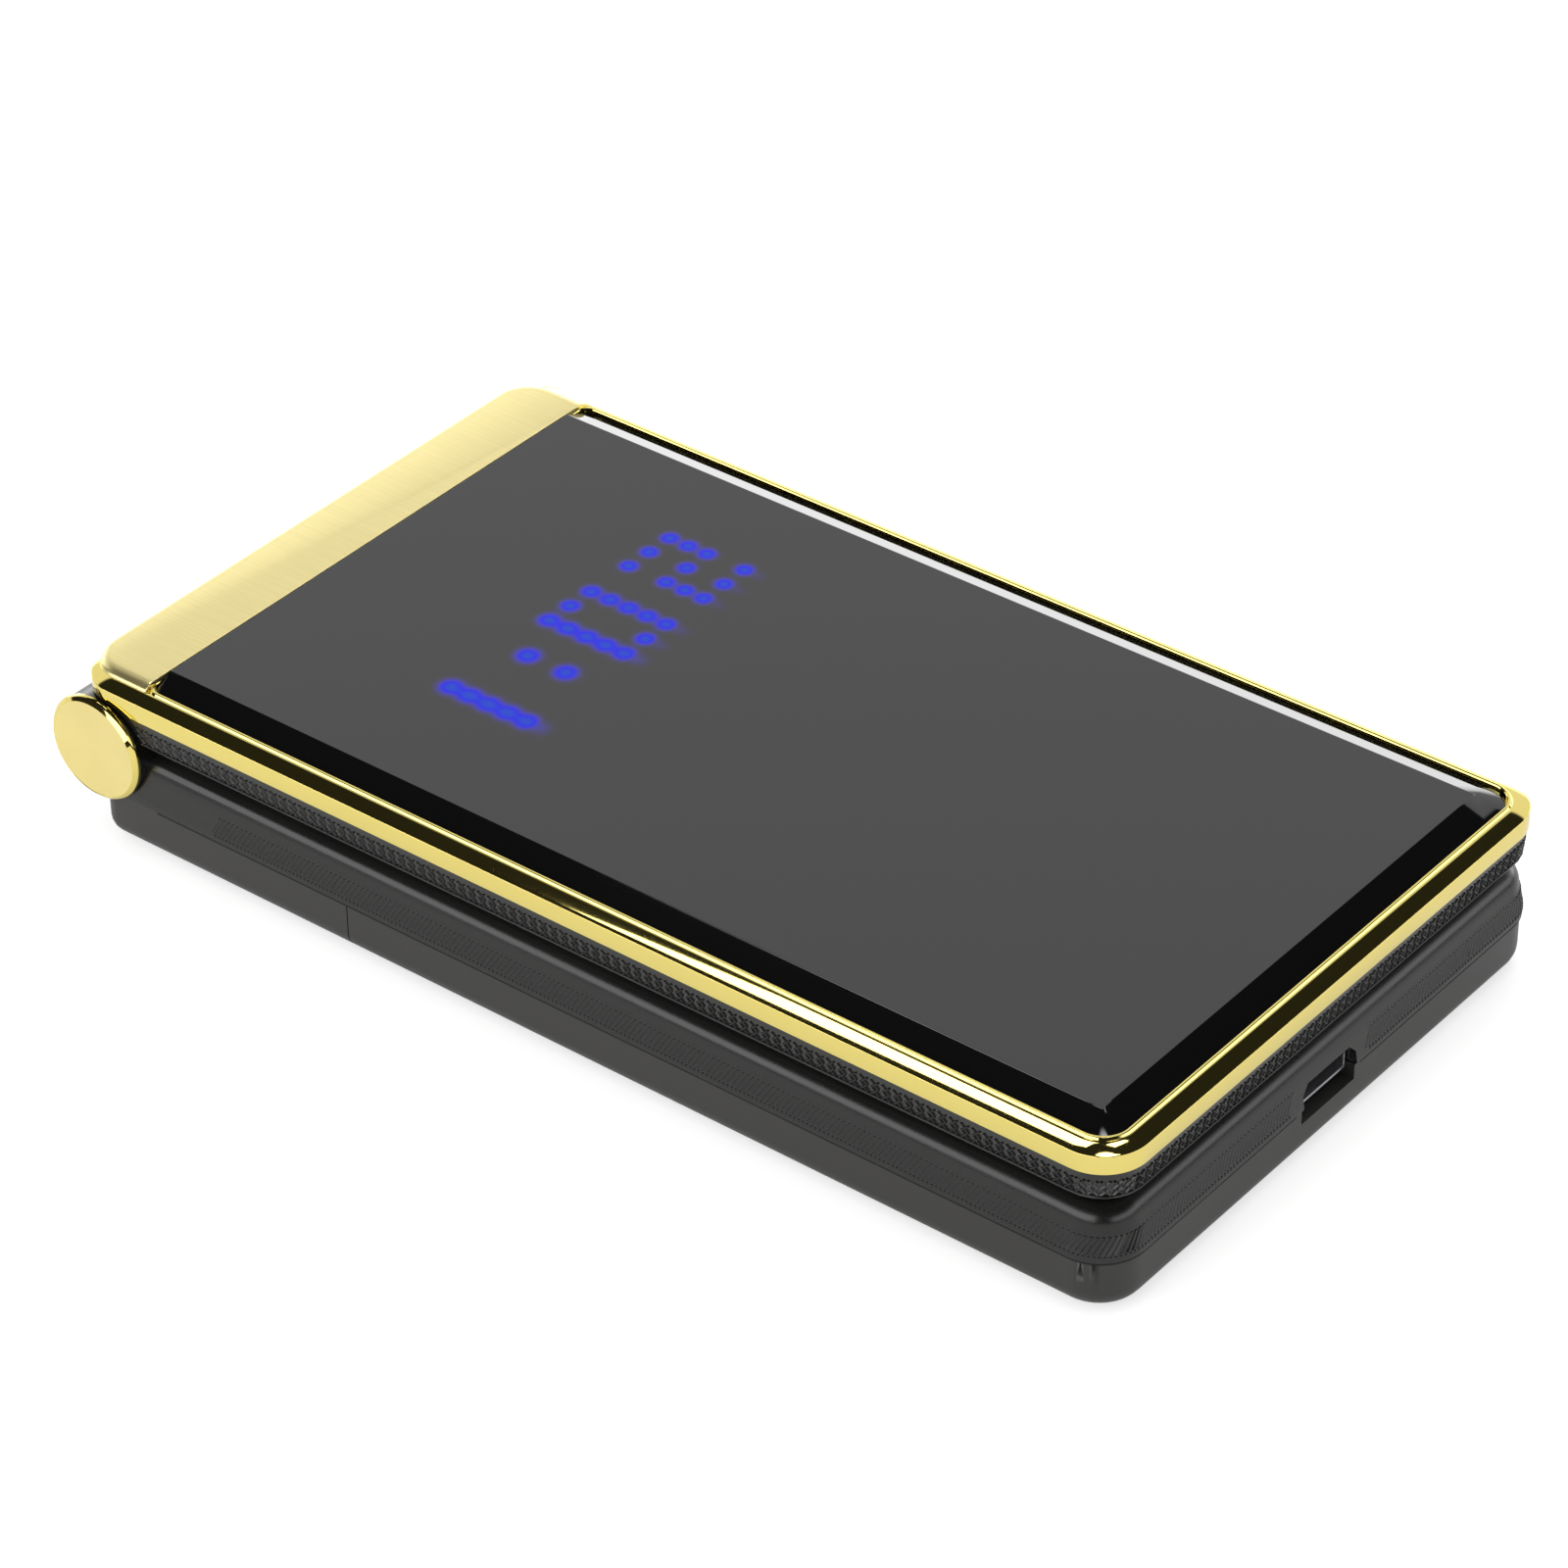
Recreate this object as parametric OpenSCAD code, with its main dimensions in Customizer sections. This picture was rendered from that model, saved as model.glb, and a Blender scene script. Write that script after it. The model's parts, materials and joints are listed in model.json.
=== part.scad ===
// Clamshell mobile phone, drawn closed.
// +X runs across the width, +Y runs towards the hinge and +Z points up out of the lid's glass.
// The origin lies on the flat back face, under the middle of the lid.

/* [Outline] */
// Length of the lid, tip to hinge end
lid_l = 108; // [106:0.5:110]
// Width of the lid, and of the base at its seam
body_w = 60.5; // [60:0.5:64]
// Plan radius of the four lid corners and of the base's mouth end
corner_r = 4.25; // [4.2:0.05:4.3]
// Plan radius of the base's two hinge-end corners
base_end_r = 2; // [1.5:0.25:3]

/* [Base heights] */
// Height of the rear casing and battery cover, up to the seam
rear_h = 4.8; // [4.7:0.1:4.9]
// Gap of the seam between the rear and front casings
seam_gap = 0.2; // [0.1:0.05:0.25]
// Height of the front casing above the seam
front_h = 4.6; // [4.6:0.1:5]
// Rounding of the back's bottom edge
back_round = 1.8; // [1.2:0.1:2.2]
// Rounding of the keypad deck's outer edge
deck_round = 1.8; // [1.2:0.1:2]
// How far the textured side leans in between the seam and the deck
side_lean = 0.45; // [0.3:0.05:0.6]
// Step in from the front casing to the rear casing at the seam
seam_step = 0.2; // [0.1:0.05:0.3]

/* [Lid heights] */
// Gap between the closed lid and the keypad deck
lid_gap = 0.4; // [0.35:0.05:0.6]
// Height of the black lid casing
lid_casing_h = 3.65; // [3.65:0.05:4]
// Height of the undercut below the lid's knurled side
undercut_h = 1.15; // [1:0.05:1.25]
// How far the undercut leans in
undercut_in = 2; // [1.7:0.1:2.1]
// Height of the gold frame's polished side and rim
frame_h = 2.1; // [2.1:0.1:2.4]
// Height of the hinge band and the glass above the frame's rim
crown_h = 0.65; // [0.6:0.05:0.8]

/* [Glass] */
// Width of the polished rim around the glass
rim_w = 1.92; // [1.8:0.04:2.2]
// Length of the brushed band between the glass and the hinge end
band_l = 7.37; // [7:0.1:8]
// Width of the glass's ground bevel
bevel_w = 2.56; // [2:0.1:3]
// Height of that bevel
bevel_h = 0.9; // [0.7:0.05:1]
// Height of the glass's square edge below the bevel
glass_edge = 0.4; // [0.3:0.05:0.5]
// Gap around the glass in its seat
glass_gap = 0.08; // [0.05:0.01:0.12]
// Width of the ledge that the glass sits on
ledge_w = 1.7; // [1.5:0.1:1.9]

/* [Walls] */
// Side wall of the front and rear casings
wall = 1.3; // [1.2:0.1:1.4]
// Thickness of the keypad deck
deck_t = 1; // [0.9:0.05:1.05]
// Floor of the battery cover
cover_t = 1; // [0.9:0.05:1.1]
// Floor of the fixed rear casing
rear_floor = 1.6; // [1.5:0.1:1.8]
// Floor of the lid casing, under the display
lid_floor = 1.4; // [1.35:0.05:1.45]
// Side wall of the lid casing
lid_wall = 1.35; // [1.2:0.05:1.4]
// Gap between pieces seated in one another
fit = 0.05; // [0.03:0.01:0.08]
// Gap between the chassis and the front casing around it
chassis_gap = 0.2; // [0.15:0.05:0.3]
// Gap between the cover's floor and the chassis over it
floor_gap = 0.35; // [0.3:0.05:0.4]

/* [Hinge] */
// Distance of the hinge axis from the lid's hinge end
hinge_inset = 2.7; // [2.6:0.1:3]
// Height of the hinge axis above the back face
hinge_z = 9.2; // [9.1:0.1:9.4]
// Radius of the hinge knuckles
knuckle_r = 4.8; // [4.6:0.1:4.8]
// Running gap around and beside the knuckles
hinge_gap = 0.2; // [0.15:0.05:0.25]
// Length of the lid's middle knuckle
knuckle_l = 40; // [38:1:44]
// Radius of the hinge pin and of the cam shaft
pin_r = 2; // [1.8:0.1:2.1]
// Running clearance of pins and shafts in their bores
pin_gap = 0.05; // [0.02:0.01:0.08]
// Length of the pin inside the lid's knuckle
pin_grip = 7; // [6:0.5:8]
// Outer radius of the spring can
can_r = 3.3; // [3.2:0.1:3.4]
// Length of the spring can
can_l = 16; // [14:1:18]
// Wall of the spring can
can_wall = 0.5; // [0.4:0.05:0.6]
// Length of the cam follower
follower_l = 2; // [1.5:0.1:2.5]
// Radius of the rod that guides the spring
rod_r = 1.2; // [1:0.1:1.5]
// Radius of the cap's spigot
spigot_r = 2.6; // [2.4:0.1:3]
// Length of the cap's spigot
spigot_l = 1.4; // [1.2:0.1:1.8]
// Radius of the gold cap's spun face
cap_face_r = 4.55; // [4.3:0.05:4.7]
// Radius of the gold cap's polished edge
cap_r = 4.95; // [4.8:0.05:5]
// How far the cap stands out of the base's side
cap_proud = 0.75; // [0.5:0.05:1]
// Distance from the hinge axis to the base's end wall
base_end = 0.7; // [0.5:0.1:0.9]

/* [Battery cover] */
// Distance from the hinge axis to the cover's joint with the fixed rear end
rear_l = 27.6; // [27:0.1:28]
// Gap at the cover's joint with the rear casing
cover_gap = 0.1; // [0.08:0.01:0.15]
// Length of the cover's locating tongue
tongue_l = 1.4; // [1:0.1:1.6]
// Thickness of the tongue
tongue_t = 0.5; // [0.4:0.05:0.6]
// Width of the tongue
tongue_w = 44; // [36:1:48]

/* [Ribbon cable] */
// Place of the cable along X
flex_x = 5; // [4:0.5:6]
// Width of the cable
flex_w = 7; // [6:0.5:8]
// Thickness of the cable
flex_t = 0.15; // [0.1:0.01:0.2]

/* [Battery] */
// Width of the battery
battery_w = 34.3; // [33:0.1:35]
// Thickness of the battery
battery_t = 4.6; // [4.3:0.1:4.7]
// Distance of the battery from the mouth end
battery_inset = 7.7; // [7.5:0.1:8]
// Gap around the battery in its well
battery_gap = 0.3; // [0.2:0.05:0.4]
// Wall of the battery's well
well_wall = 1.2; // [1:0.1:1.3]
// Thickness of the well's roof, under the main board
well_roof_t = 0.5; // [0.4:0.05:0.6]
// Length of the SIM card holder's well, between the battery's well and the cover's joint
sim_l = 14.3; // [14:0.1:15]
// Width of the battery connector
contact_w = 10; // [9:0.5:12]
// Thickness of the battery connector
contact_t = 1.4; // [1.3:0.05:1.5]
// Spacing of its blades
blade_pitch = 3; // [2.5:0.1:3.5]
// Width of a blade
blade_w = 1; // [0.8:0.05:1.2]

/* [Boards] */
// Thickness of the main circuit board
board_t = 0.8; // [0.7:0.05:0.8]
// Thickness of the dome sheet
dome_t = 0.15; // [0.1:0.01:0.2]
// Gap between the circuit board and the casing around it
board_gap = 0.6; // [0.4:0.1:0.8]
// Radius of a key's metal dome
dome_r = 2.5; // [2:0.1:3]
// Height of the shield can
shield_h = 1.5; // [1.2:0.1:1.6]
// Sheet of the shield can
shield_t = 0.2; // [0.15:0.05:0.3]
// Distance of the shield can from the board's side edge
shield_margin = 2.9; // [2:0.1:4]
// Gap beside the vibration motor in its pocket
motor_gap = 0.475; // [0.3:0.025:0.6]
// Height of the vibration motor
motor_h = 2.7; // [2.4:0.1:3]
// Height of the antenna carrier
antenna_h = 3; // [2.5:0.1:3.4]

/* [Keys] */
// Distance from the mouth end to the last row of number keys
keypad_inset = 15.6; // [15:0.1:16]
// Gap between the rows of number keys
row_gap = 1.6; // [1.5:0.05:1.8]
// Gap between the columns of number keys
column_gap = 1.4; // [1.3:0.05:1.6]
// Distance from the keypad's inner side wall to the number keys
key_margin = 1.6; // [1.4:0.05:1.8]
// Gap between the screw bosses and the keys' flanges beside them
boss_gap = 0.55; // [0.4:0.05:0.7]
// Gap between the keys' flanges and the hinge end of their room
nav_margin = 1.45; // [1.4:0.05:1.8]
// Gap between the navigation ring and the function keys, and between their two rows
side_gap = 1.3; // [1.2:0.05:1.5]
// Distance from the keypad's inner side wall to the function keys
side_margin = 1.1; // [1:0.05:1.3]
// Width of the navigation ring
nav_w = 22.6; // [21:0.2:22.8]
// Length of the navigation ring
nav_l = 20.4; // [19.8:0.2:20.6]
// Radius of the centre key
ok_r = 4.8; // [4.4:0.1:5]
// Gap between a key and the deck around it
key_gap = 0.15; // [0.1:0.01:0.2]
// How far a key's top stands above the deck
key_proud = 0.15; // [0.05:0.01:0.2]
// How far a key can be pressed
key_travel = 0.3; // [0.2:0.01:0.32]
// Thickness of the flange that keeps a key under the deck
flange_t = 0.4; // [0.3:0.05:0.5]
// Width of that flange
flange_w = 0.35; // [0.2:0.05:0.4]
// Gap between the flange and the deck over it
flange_gap = 0.1; // [0.05:0.01:0.15]
// Plan radius of a key's corners
key_r = 1.6; // [1.2:0.1:2.5]
// Plan radius of the navigation ring's corners
nav_r = 6; // [5:0.5:8]
// Thickness of the centre key's flange
ok_flange_t = 0.2; // [0.15:0.05:0.25]
// Height of the softened step around a key's top
key_step = 0.15; // [0.1:0.05:0.2]

/* [Display] */
// Width of the display module
lcd_w = 46; // [44:0.5:47]
// Thickness of the display module
lcd_t = 1.7; // [1.5:0.05:1.75]
// Distance from the earpiece to the display module
lcd_ear_gap = 5.8; // [5.5:0.1:6.2]
// Distance from the display module to the hinge end of the lid's room
lcd_end_gap = 16.8; // [16:0.1:17.5]
// Border between the display's visible area and its end
view_border = 6; // [5:0.5:7]
// Border between the display's visible area and its side
view_side = 3; // [2:0.5:4]
// How far the clear window reaches past the display's ends
window_lap = 3; // [2.5:0.1:3.4]
// How far the clear window reaches past the display's sides
window_side = 2; // [1.5:0.1:2.4]
// Thickness of the clear window
window_t = 0.85; // [0.7:0.05:0.9]

/* [Earpiece] */
// Distance of the earpiece from the lid's tip
ear_inset = 7.2; // [7:0.1:7.4]
// Length of the slot over the earpiece
ear_slot_l = 11; // [8:0.5:12]
// Width of the slot
ear_slot_w = 1.8; // [1.4:0.1:2]
// Length of the earpiece
ear_l = 13; // [13:0.5:15]
// Width of the earpiece
ear_w = 6; // [5:0.5:6.5]
// Thickness of the earpiece
ear_t = 1.9; // [1.7:0.1:2.1]
// Thickness of the mesh
ear_mesh_t = 0.3; // [0.2:0.05:0.4]
// Radius of a rubber bumper
bumper_r = 1.2; // [1:0.05:1.25]
// Depth of a bumper's seat in the lid
bumper_seat = 0.5; // [0.4:0.05:0.7]
// Gap between a bumper and the deck
bumper_rest = 0.05; // [0.05:0.01:0.1]

// Distance of the closed-lid magnet from the middle
magnet_x = 14; // [13.5:0.1:16]
// Width and length of the magnet
magnet_w = 3.5; // [3:0.1:4]
// Thickness of the magnet
magnet_t = 1.5; // [1.2:0.1:1.8]

/* [Clock] */
// Spacing of the lamp columns
lamp_pitch_x = 2.65; // [2.5:0.05:2.7]
// Place of the clock along X
clock_x = -1.2; // [-1.5:0.1:0]
// Width of the clock's circuit board
clock_w = 40; // [38:0.5:42]
// Length of the clock's circuit board
clock_l = 17; // [14:0.5:18]
// Inset of the board's two holes, and of the tape under it
clock_lug = 2; // [1.5:0.1:2.5]
// Spacing of the lamp rows
lamp_pitch_y = 2; // [1.8:0.05:2.1]
// Distance from the lid's hinge end to the middle row of lamps
clock_inset = 31.8; // [31:0.2:32.4]
// Length of one lamp
lamp_l = 1; // [0.8:0.1:1.2]
// Width of one lamp
lamp_w = 0.6; // [0.4:0.1:0.8]
// Height of one lamp
lamp_h = 0.4; // [0.3:0.05:0.45]
// Thickness of the clock's circuit board
clock_t = 0.6; // [0.5:0.05:0.65]

/* [Sockets] */
// Width of the charging socket's cut-out
usb_w = 7.4; // [7.2:0.1:7.8]
// Height of the cut-out above the seam
usb_up = 2; // [1.9:0.1:2.2]
// Depth of the cut-out below the seam
usb_down = 1.4; // [1.2:0.1:1.5]
// Place of the charging socket along X
usb_x = -0.8; // [-1.5:0.1:0.5]
// Distance of the microphone hole from the base's side
mic_inset = 11.55; // [11:0.05:12]
// Radius of the microphone hole
mic_r = 0.65; // [0.5:0.05:0.7]
// Thickness of the charging socket's shell
usb_shell = 0.25; // [0.2:0.05:0.3]
// Height of the charging socket
usb_h = 2.5; // [2.4:0.05:2.6]
// Length of the charging socket
usb_l = 5; // [5:0.1:5.4]
// Size of the cut-off upper corners of the socket and its cut-out
usb_cut_off = 0.8; // [0.6:0.05:1]
// Width of the microphone
mic_w = 4; // [3:0.1:4.5]
// Length of the microphone
mic_l = 3; // [2.5:0.1:3.2]
// Height of the microphone
mic_t = 1.4; // [1.3:0.05:1.5]

/* [Screws] */
// Radius of a screw's shank
screw_r = 0.7; // [0.6:0.05:0.75]
// Radius of a screw's head
screw_head_r = 1.5; // [1.3:0.1:1.6]
// Height of a screw's head
screw_head_h = 0.5; // [0.4:0.05:0.55]
// Clearance around screws
screw_gap = 0.1; // [0.05:0.01:0.15]
// Radius of a screw boss
boss_r = 2; // [1.8:0.1:2.1]
// Distance of the base's screws from the keypad's inner side wall
base_screw_inset = 4.1; // [3.8:0.1:4.4]
// Distance of the first pair of base screws from the mouth end
base_screw_end = 9.8; // [9.5:0.1:10]
// Distance of the lid's screws from its side
lid_screw_inset = 4.05; // [4:0.05:4.2]
// Distance of the lid's screws from its tip
lid_screw_end = 4.8; // [4.7:0.05:5]

// Length of the lid's screws
lid_screw_l = 2.8; // [2.4:0.1:3]
// Length of a screw's cross recess
recess_l = 1.6; // [1.2:0.1:1.8]
// Width of the cross recess
recess_w = 0.35; // [0.25:0.05:0.45]

/* [Rear end] */
// Width of the SIM card holder's well
sim_w = 28; // [27:0.5:30]
// Height of the SIM card holder
sim_h = 1.5; // [1.3:0.1:1.6]
// Width of the opening in the holder's plate
sim_open_w = 14; // [12:0.5:16]
// Length of that opening
sim_open_l = 8; // [6:0.5:9]
// Height of the rest rib below the back
rib_h = 0.3; // [0.2:0.05:0.5]
// Width of the rest rib
rib_w = 2.6; // [2:0.1:3]
// Distance of the rest rib from the hinge axis
rib_inset = 8.2; // [7.6:0.1:9]
// Place of the camera along X
camera_x = -12; // [-13:0.5:-11]
// Distance of the camera and the loudspeaker from the hinge axis
camera_inset = 17.3; // [17:0.1:17.8]
// Radius of the camera's window
camera_r = 5; // [4.5:0.1:5.4]
// Thickness of the camera's window
camera_t = 0.7; // [0.6:0.05:0.8]
// Width of the camera's body
camera_w = 8; // [7.5:0.1:8.5]
// Radius of the camera's lens barrel
camera_lens_r = 2.6; // [2:0.1:3]
// Place of the loudspeaker along X
speaker_x = 12; // [11:0.5:13]
// Height of the loudspeaker
speaker_h = 3; // [2.6:0.1:3.1]
// Length of the loudspeaker
speaker_l = 15; // [14:0.5:16]
// Width of the loudspeaker
speaker_w = 11.5; // [11:0.5:12]
// Spacing of the grille's slots
grille_pitch = 1.9; // [1.7:0.1:2.1]

/* [Hidden] */
$fn = 64;

// Thickness of one slice of a lofted shell, and overlap of cuts past a face
slice = 0.01;
over = 1;
// Points on a rounded corner of a lofted shell
loft_fn = 48;

// Outline
half_w = body_w / 2;
mouth_y = -lid_l / 2;
lid_end_y = lid_l / 2;
hinge_y = lid_end_y - hinge_inset;
base_end_y = hinge_y + base_end;
rear_w = body_w - 2 * seam_step;
inner_w = body_w - 2 * (side_lean + wall);

// Radius of the sweep that the lid clears around the base's knuckles, and the room up to it
clear_r = knuckle_r + hinge_gap;
room_end = hinge_y - clear_r - 1.5;
end_knuckle_x = knuckle_l / 2 + hinge_gap;
knuckle_out = half_w + 0.1;

// Heights, from the back face up
front_z = rear_h + seam_gap;
deck_z = front_z + front_h;
deck_low = deck_z - deck_t;
lid_z = deck_z + lid_gap;
frame_z = lid_z + lid_casing_h;
rim_z = frame_z + frame_h;
crown_z = rim_z + crown_h;

// Keys: the flange hangs under the deck and the dome sheet lies one stroke below it
key_top = deck_z + key_proud;
flange_top = deck_low - flange_gap;
key_low = flange_top - flange_t;
dome_top = key_low - key_travel - fit;
board_top = dome_top - dome_t;
board_low = board_top - board_t;

// Chassis inside the battery cover, and the battery between them
chassis_z = cover_t + floor_gap;
chassis_w = inner_w - 2 * chassis_gap;
battery_low = cover_t + floor_gap - 0.1;
battery_top = battery_low + battery_t;
well_roof = battery_top + fit;
chassis_top = well_roof + well_roof_t;
chassis_y = mouth_y + side_lean + wall + chassis_gap;
battery_y = mouth_y + battery_inset;
cover_end = hinge_y - rear_l;
rear_start = cover_end + cover_gap;
rear_wall_y = rear_start + tongue_l + 0.5;
sim_y1 = cover_end - 1;
sim_y0 = sim_y1 - sim_l;
well_end = sim_y0 - well_wall;
battery_l = well_end - battery_gap - battery_y;
pocket_x0 = battery_w / 2 + battery_gap + well_wall;
pocket_x1 = chassis_w / 2 - wall;
pocket_z = chassis_z + 0.85;
pocket_y0 = chassis_y + 1.1;
pocket_y1 = battery_y - battery_gap - well_wall + 0.2;
end_pocket_x0 = 6;
end_pocket_x1 = chassis_w / 2 - 6.3;
motor_r = (pocket_x1 - pocket_x0) / 2 - motor_gap;
camera_y = hinge_y - camera_inset;
rib_y = hinge_y - rib_inset;

// Keypad: the navigation ring and the function keys lie at the hinge end of the room, then comes
// a row of screws, and the number keys share what is left up to the mouth end
nav_y = room_end - nav_margin - flange_w - nav_l / 2;
side_key_w = inner_w / 2 - side_margin - side_gap - nav_w / 2;
side_key_l = (nav_l - side_gap - 0.3) / 2;
side_key_x = nav_w / 2 + side_gap + side_key_w / 2;
side_key_y = (nav_l - side_key_l) / 2;
screw_row_y = nav_y - nav_l / 2 - flange_w - boss_gap - boss_r;
keypad_y1 = screw_row_y - boss_r - boss_gap - flange_w;
key_w = (inner_w - 2 * key_margin - 2 * column_gap) / 3;
key_l = (keypad_y1 - mouth_y - keypad_inset - 3 * row_gap) / 4;

// Screw places
base_screw_x = inner_w / 2 - base_screw_inset;
base_screw_y = [mouth_y + base_screw_end, screw_row_y];
lid_screw_x = half_w - lid_screw_inset;
lid_screw_y = [mouth_y + lid_screw_end, lid_end_y - band_l - boss_r - 2.6];

// Glass and its seat
glass_x = half_w - rim_w - glass_gap;
glass_y0 = mouth_y + rim_w + glass_gap;
glass_y1 = lid_end_y - band_l - glass_gap;
glass_low = crown_z - glass_edge - bevel_h;

// Display, between the earpiece and the hinge end of the lid's room
ear_y = mouth_y + ear_inset;
lcd_y0 = ear_y + ear_w / 2 + lcd_ear_gap;
lcd_l = room_end - lcd_end_gap - lcd_y0;
lcd_y = lcd_y0 + lcd_l / 2;
view_w = lcd_w - 2 * view_side;
view_l = lcd_l - 2 * view_border;
window_w = lcd_w + 2 * window_side;
window_l = lcd_l + 2 * window_lap;

// Clock: the lamps end just below the glass
clock_y = lid_end_y - clock_inset;
lcd_z = lid_z + lid_floor + fit;
lcd_top = lcd_z + lcd_t;
lamp_top = glass_low - 0.1;
clock_z = lamp_top - lamp_h - clock_t;
digit_x = [clock_x - 14.6, clock_x + 3.5, clock_x + 13.95];
colon_x = clock_x - 4.55;

// Openings in the keypad deck: place, width, length and corner radius of each
function num_at(i) = [(i % 3 - 1) * (key_w + column_gap),
                      keypad_y1 - key_l / 2 - floor(i / 3) * (key_l + row_gap)];
function side_at(sx, sy) = [sx * side_key_x, nav_y + sy * side_key_y];
side_places = [side_at(-1, 1), side_at(1, 1), side_at(-1, -1), side_at(1, -1)];
key_plan = concat([for (i = [0:11]) [num_at(i)[0], num_at(i)[1], key_w, key_l, key_r]],
                  [for (p = side_places) [p[0], p[1], side_key_w, side_key_l, key_r]],
                  [[0, nav_y, nav_w, nav_l, nav_r]]);

// Domes: one under each key, and four under the navigation ring
nav_dome_x = (nav_w / 2 + ok_r + 1) / 2;
nav_dome_y = (nav_l / 2 + ok_r + 1) / 2;
nav_domes = [[nav_dome_x, 0], [-nav_dome_x, 0], [0, nav_dome_y], [0, -nav_dome_y]];
dome_plan = concat([for (i = [0:11]) num_at(i)], side_places, [[0, nav_y]],
                   [for (d = nav_domes) d + [0, nav_y]]);

// Hinge
casing_end = hinge_y - sqrt(pow(clear_r, 2) - pow(frame_z - hinge_z, 2));
can_x0 = -knuckle_l / 2 + 0.1;
can_x1 = can_x0 + can_l;
follower_x = can_x0 + 1.2;
pin_end = knuckle_l / 2 - pin_grip;
flex_r = can_r - 0.35;
flex_z = hinge_z + flex_r - flex_t;

// Main board and what hangs under it
board_w = inner_w - 2 * board_gap;
board_y0 = mouth_y + side_lean + wall + board_gap;
board_y1 = room_end - board_gap;
mic_x = half_w - mic_inset;
mic_z = board_low - 0.45;

// Cover's tongue, and the small parts of the lid's face
tongue_z = (cover_t - tongue_t) / 2 + 0.15;
bumper_tip_x = half_w - 3.9;
bumper_hinge_x = 20;
bumper_hinge_y = room_end + 0.05;
bumper_at = [[-bumper_tip_x, mouth_y + 8.6], [bumper_tip_x, mouth_y + 8.6],
             [-bumper_hinge_x, bumper_hinge_y], [bumper_hinge_x, bumper_hinge_y]];
base_screw_at = [for (x = [-1, 1], y = base_screw_y) [x * base_screw_x, y]];
lid_screw_at = [for (x = [-1, 1], y = lid_screw_y) [x * lid_screw_x, y]];

// Colours
gold = [0.86, 0.72, 0.3];
black = [0.12, 0.12, 0.12];
dark = [0.05, 0.05, 0.06];
grey = [0.35, 0.35, 0.37];
steel = [0.7, 0.7, 0.72];
board = [0.08, 0.3, 0.16];
blue = [0.2, 0.3, 0.9];

// Heights and insets of a rounded lower edge: from the flat face at z up to the full width
function edge_up(z, r, inset) =
    [for (a = [0:15:90]) [z + r * (1 - cos(a)), inset + r * (1 - sin(a))]];
// The same for a rounded upper edge that ends at height z
function edge_down(z, r, inset) =
    [for (a = [0:15:90]) [z - r * (1 - cos(a)), inset + r * (1 - sin(a))]];

// Rectangle from y0 to y1, w wide, with radius r0 at the y0 end and r1 at the y1 end
module outline(w, y0, y1, r0, r1) {
    translate([-w / 2, y0 + r0])
        square([w, y1 - y0 - r0 - r1]);
    translate([-w / 2 + r0, y0])
        square([w - 2 * r0, r0 + slice]);
    translate([-w / 2 + r1, y1 - r1 - slice])
        square([w - 2 * r1, r1 + slice]);
    for (x = [-1, 1]) {
        translate([x * (w / 2 - r0), y0 + r0])
            circle(r0);
        translate([x * (w / 2 - r1), y1 - r1])
            circle(r1);
    }
}

// Rounded rectangle centred on x, y
module round_rect(w, l, r) {
    outline(w, -l / 2, l / 2, r, r);
}

// Convex shell through slices [height, inset] of one outline
module loft(w, y0, y1, r0, r1, slices) {
    top = max([for (s = slices) s[0]]);
    hull()
        for (s = slices)
            translate([0, 0, min(s[0], top - slice)])
                linear_extrude(slice)
                    outline(w - 2 * s[1], y0 + s[1], y1 - s[1], max(r0 - s[1], 0.2), max(r1 - s[1], 0.2),
                            $fn = loft_fn);
}

// Box from corner a to corner b
module block(a, b) {
    translate(a)
        cube(b - a);
}

// Cylinder on the hinge axis from x0 to x1
module on_axis(r, x0, x1) {
    translate([x0, hinge_y, hinge_z])
        rotate([0, 90, 0])
            cylinder(r = r, h = x1 - x0);
}

// Upright cylinder at p, from z0 to z1
module post(p, r, z0, z1) {
    translate([p[0], p[1], z0])
        cylinder(r = r, h = z1 - z0);
}

// Gold frame: polished side and rim around the glass, with the brushed band at the hinge end
module lid_bezel() {
    band_y = lid_end_y - band_l;
    rim = [[frame_z, 0.05], [frame_z + 0.1, 0], [rim_z - 0.65, 0], [rim_z - 0.45, 0.12],
           [rim_z - 0.27, 0.4], [rim_z - 0.11, 0.9], [rim_z, 1.5]];
    band = [[rim_z - 0.3, 0], [rim_z + 0.3 * crown_h, 0.08], [rim_z + 0.8 * crown_h, 0.5],
            [crown_z - 0.05, 1.3]];
    color(gold)
    difference() {
        union() {
            loft(body_w, mouth_y, lid_end_y, corner_r, corner_r, rim);
            // The hinge band stands above the rim, with its ends rounded down to it
            intersection() {
                loft(body_w - 3, band_y - 5, lid_end_y - 0.12, 1, corner_r - 0.8, band);
                block([-half_w, band_y, frame_z], [half_w, lid_end_y, crown_z + over]);
            }
            for (p = lid_screw_at)
                post(p, boss_r, lid_z + lid_floor + fit, frame_z + 0.6);
        }
        // Seat of the glass
        translate([0, 0, glass_low])
            linear_extrude(crown_z)
                outline(body_w - 2 * rim_w, mouth_y + rim_w, band_y, corner_r - rim_w, 1.2);
        // Open middle below the ledge
        difference() {
            translate([0, 0, frame_z - over])
                linear_extrude(crown_z)
                    outline(body_w - 2 * (rim_w + ledge_w), mouth_y + rim_w + ledge_w, band_y - ledge_w,
                            2, 2);
            for (p = lid_screw_at)
                post(p, boss_r, lid_z, frame_z + 0.6);
        }
        for (p = lid_screw_at)
            post(p, screw_r + screw_gap / 2, lid_z, frame_z + 0.3);
        // Hollow over the knuckles
        on_axis(clear_r, -half_w - over, half_w + over);
    }
}

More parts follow.
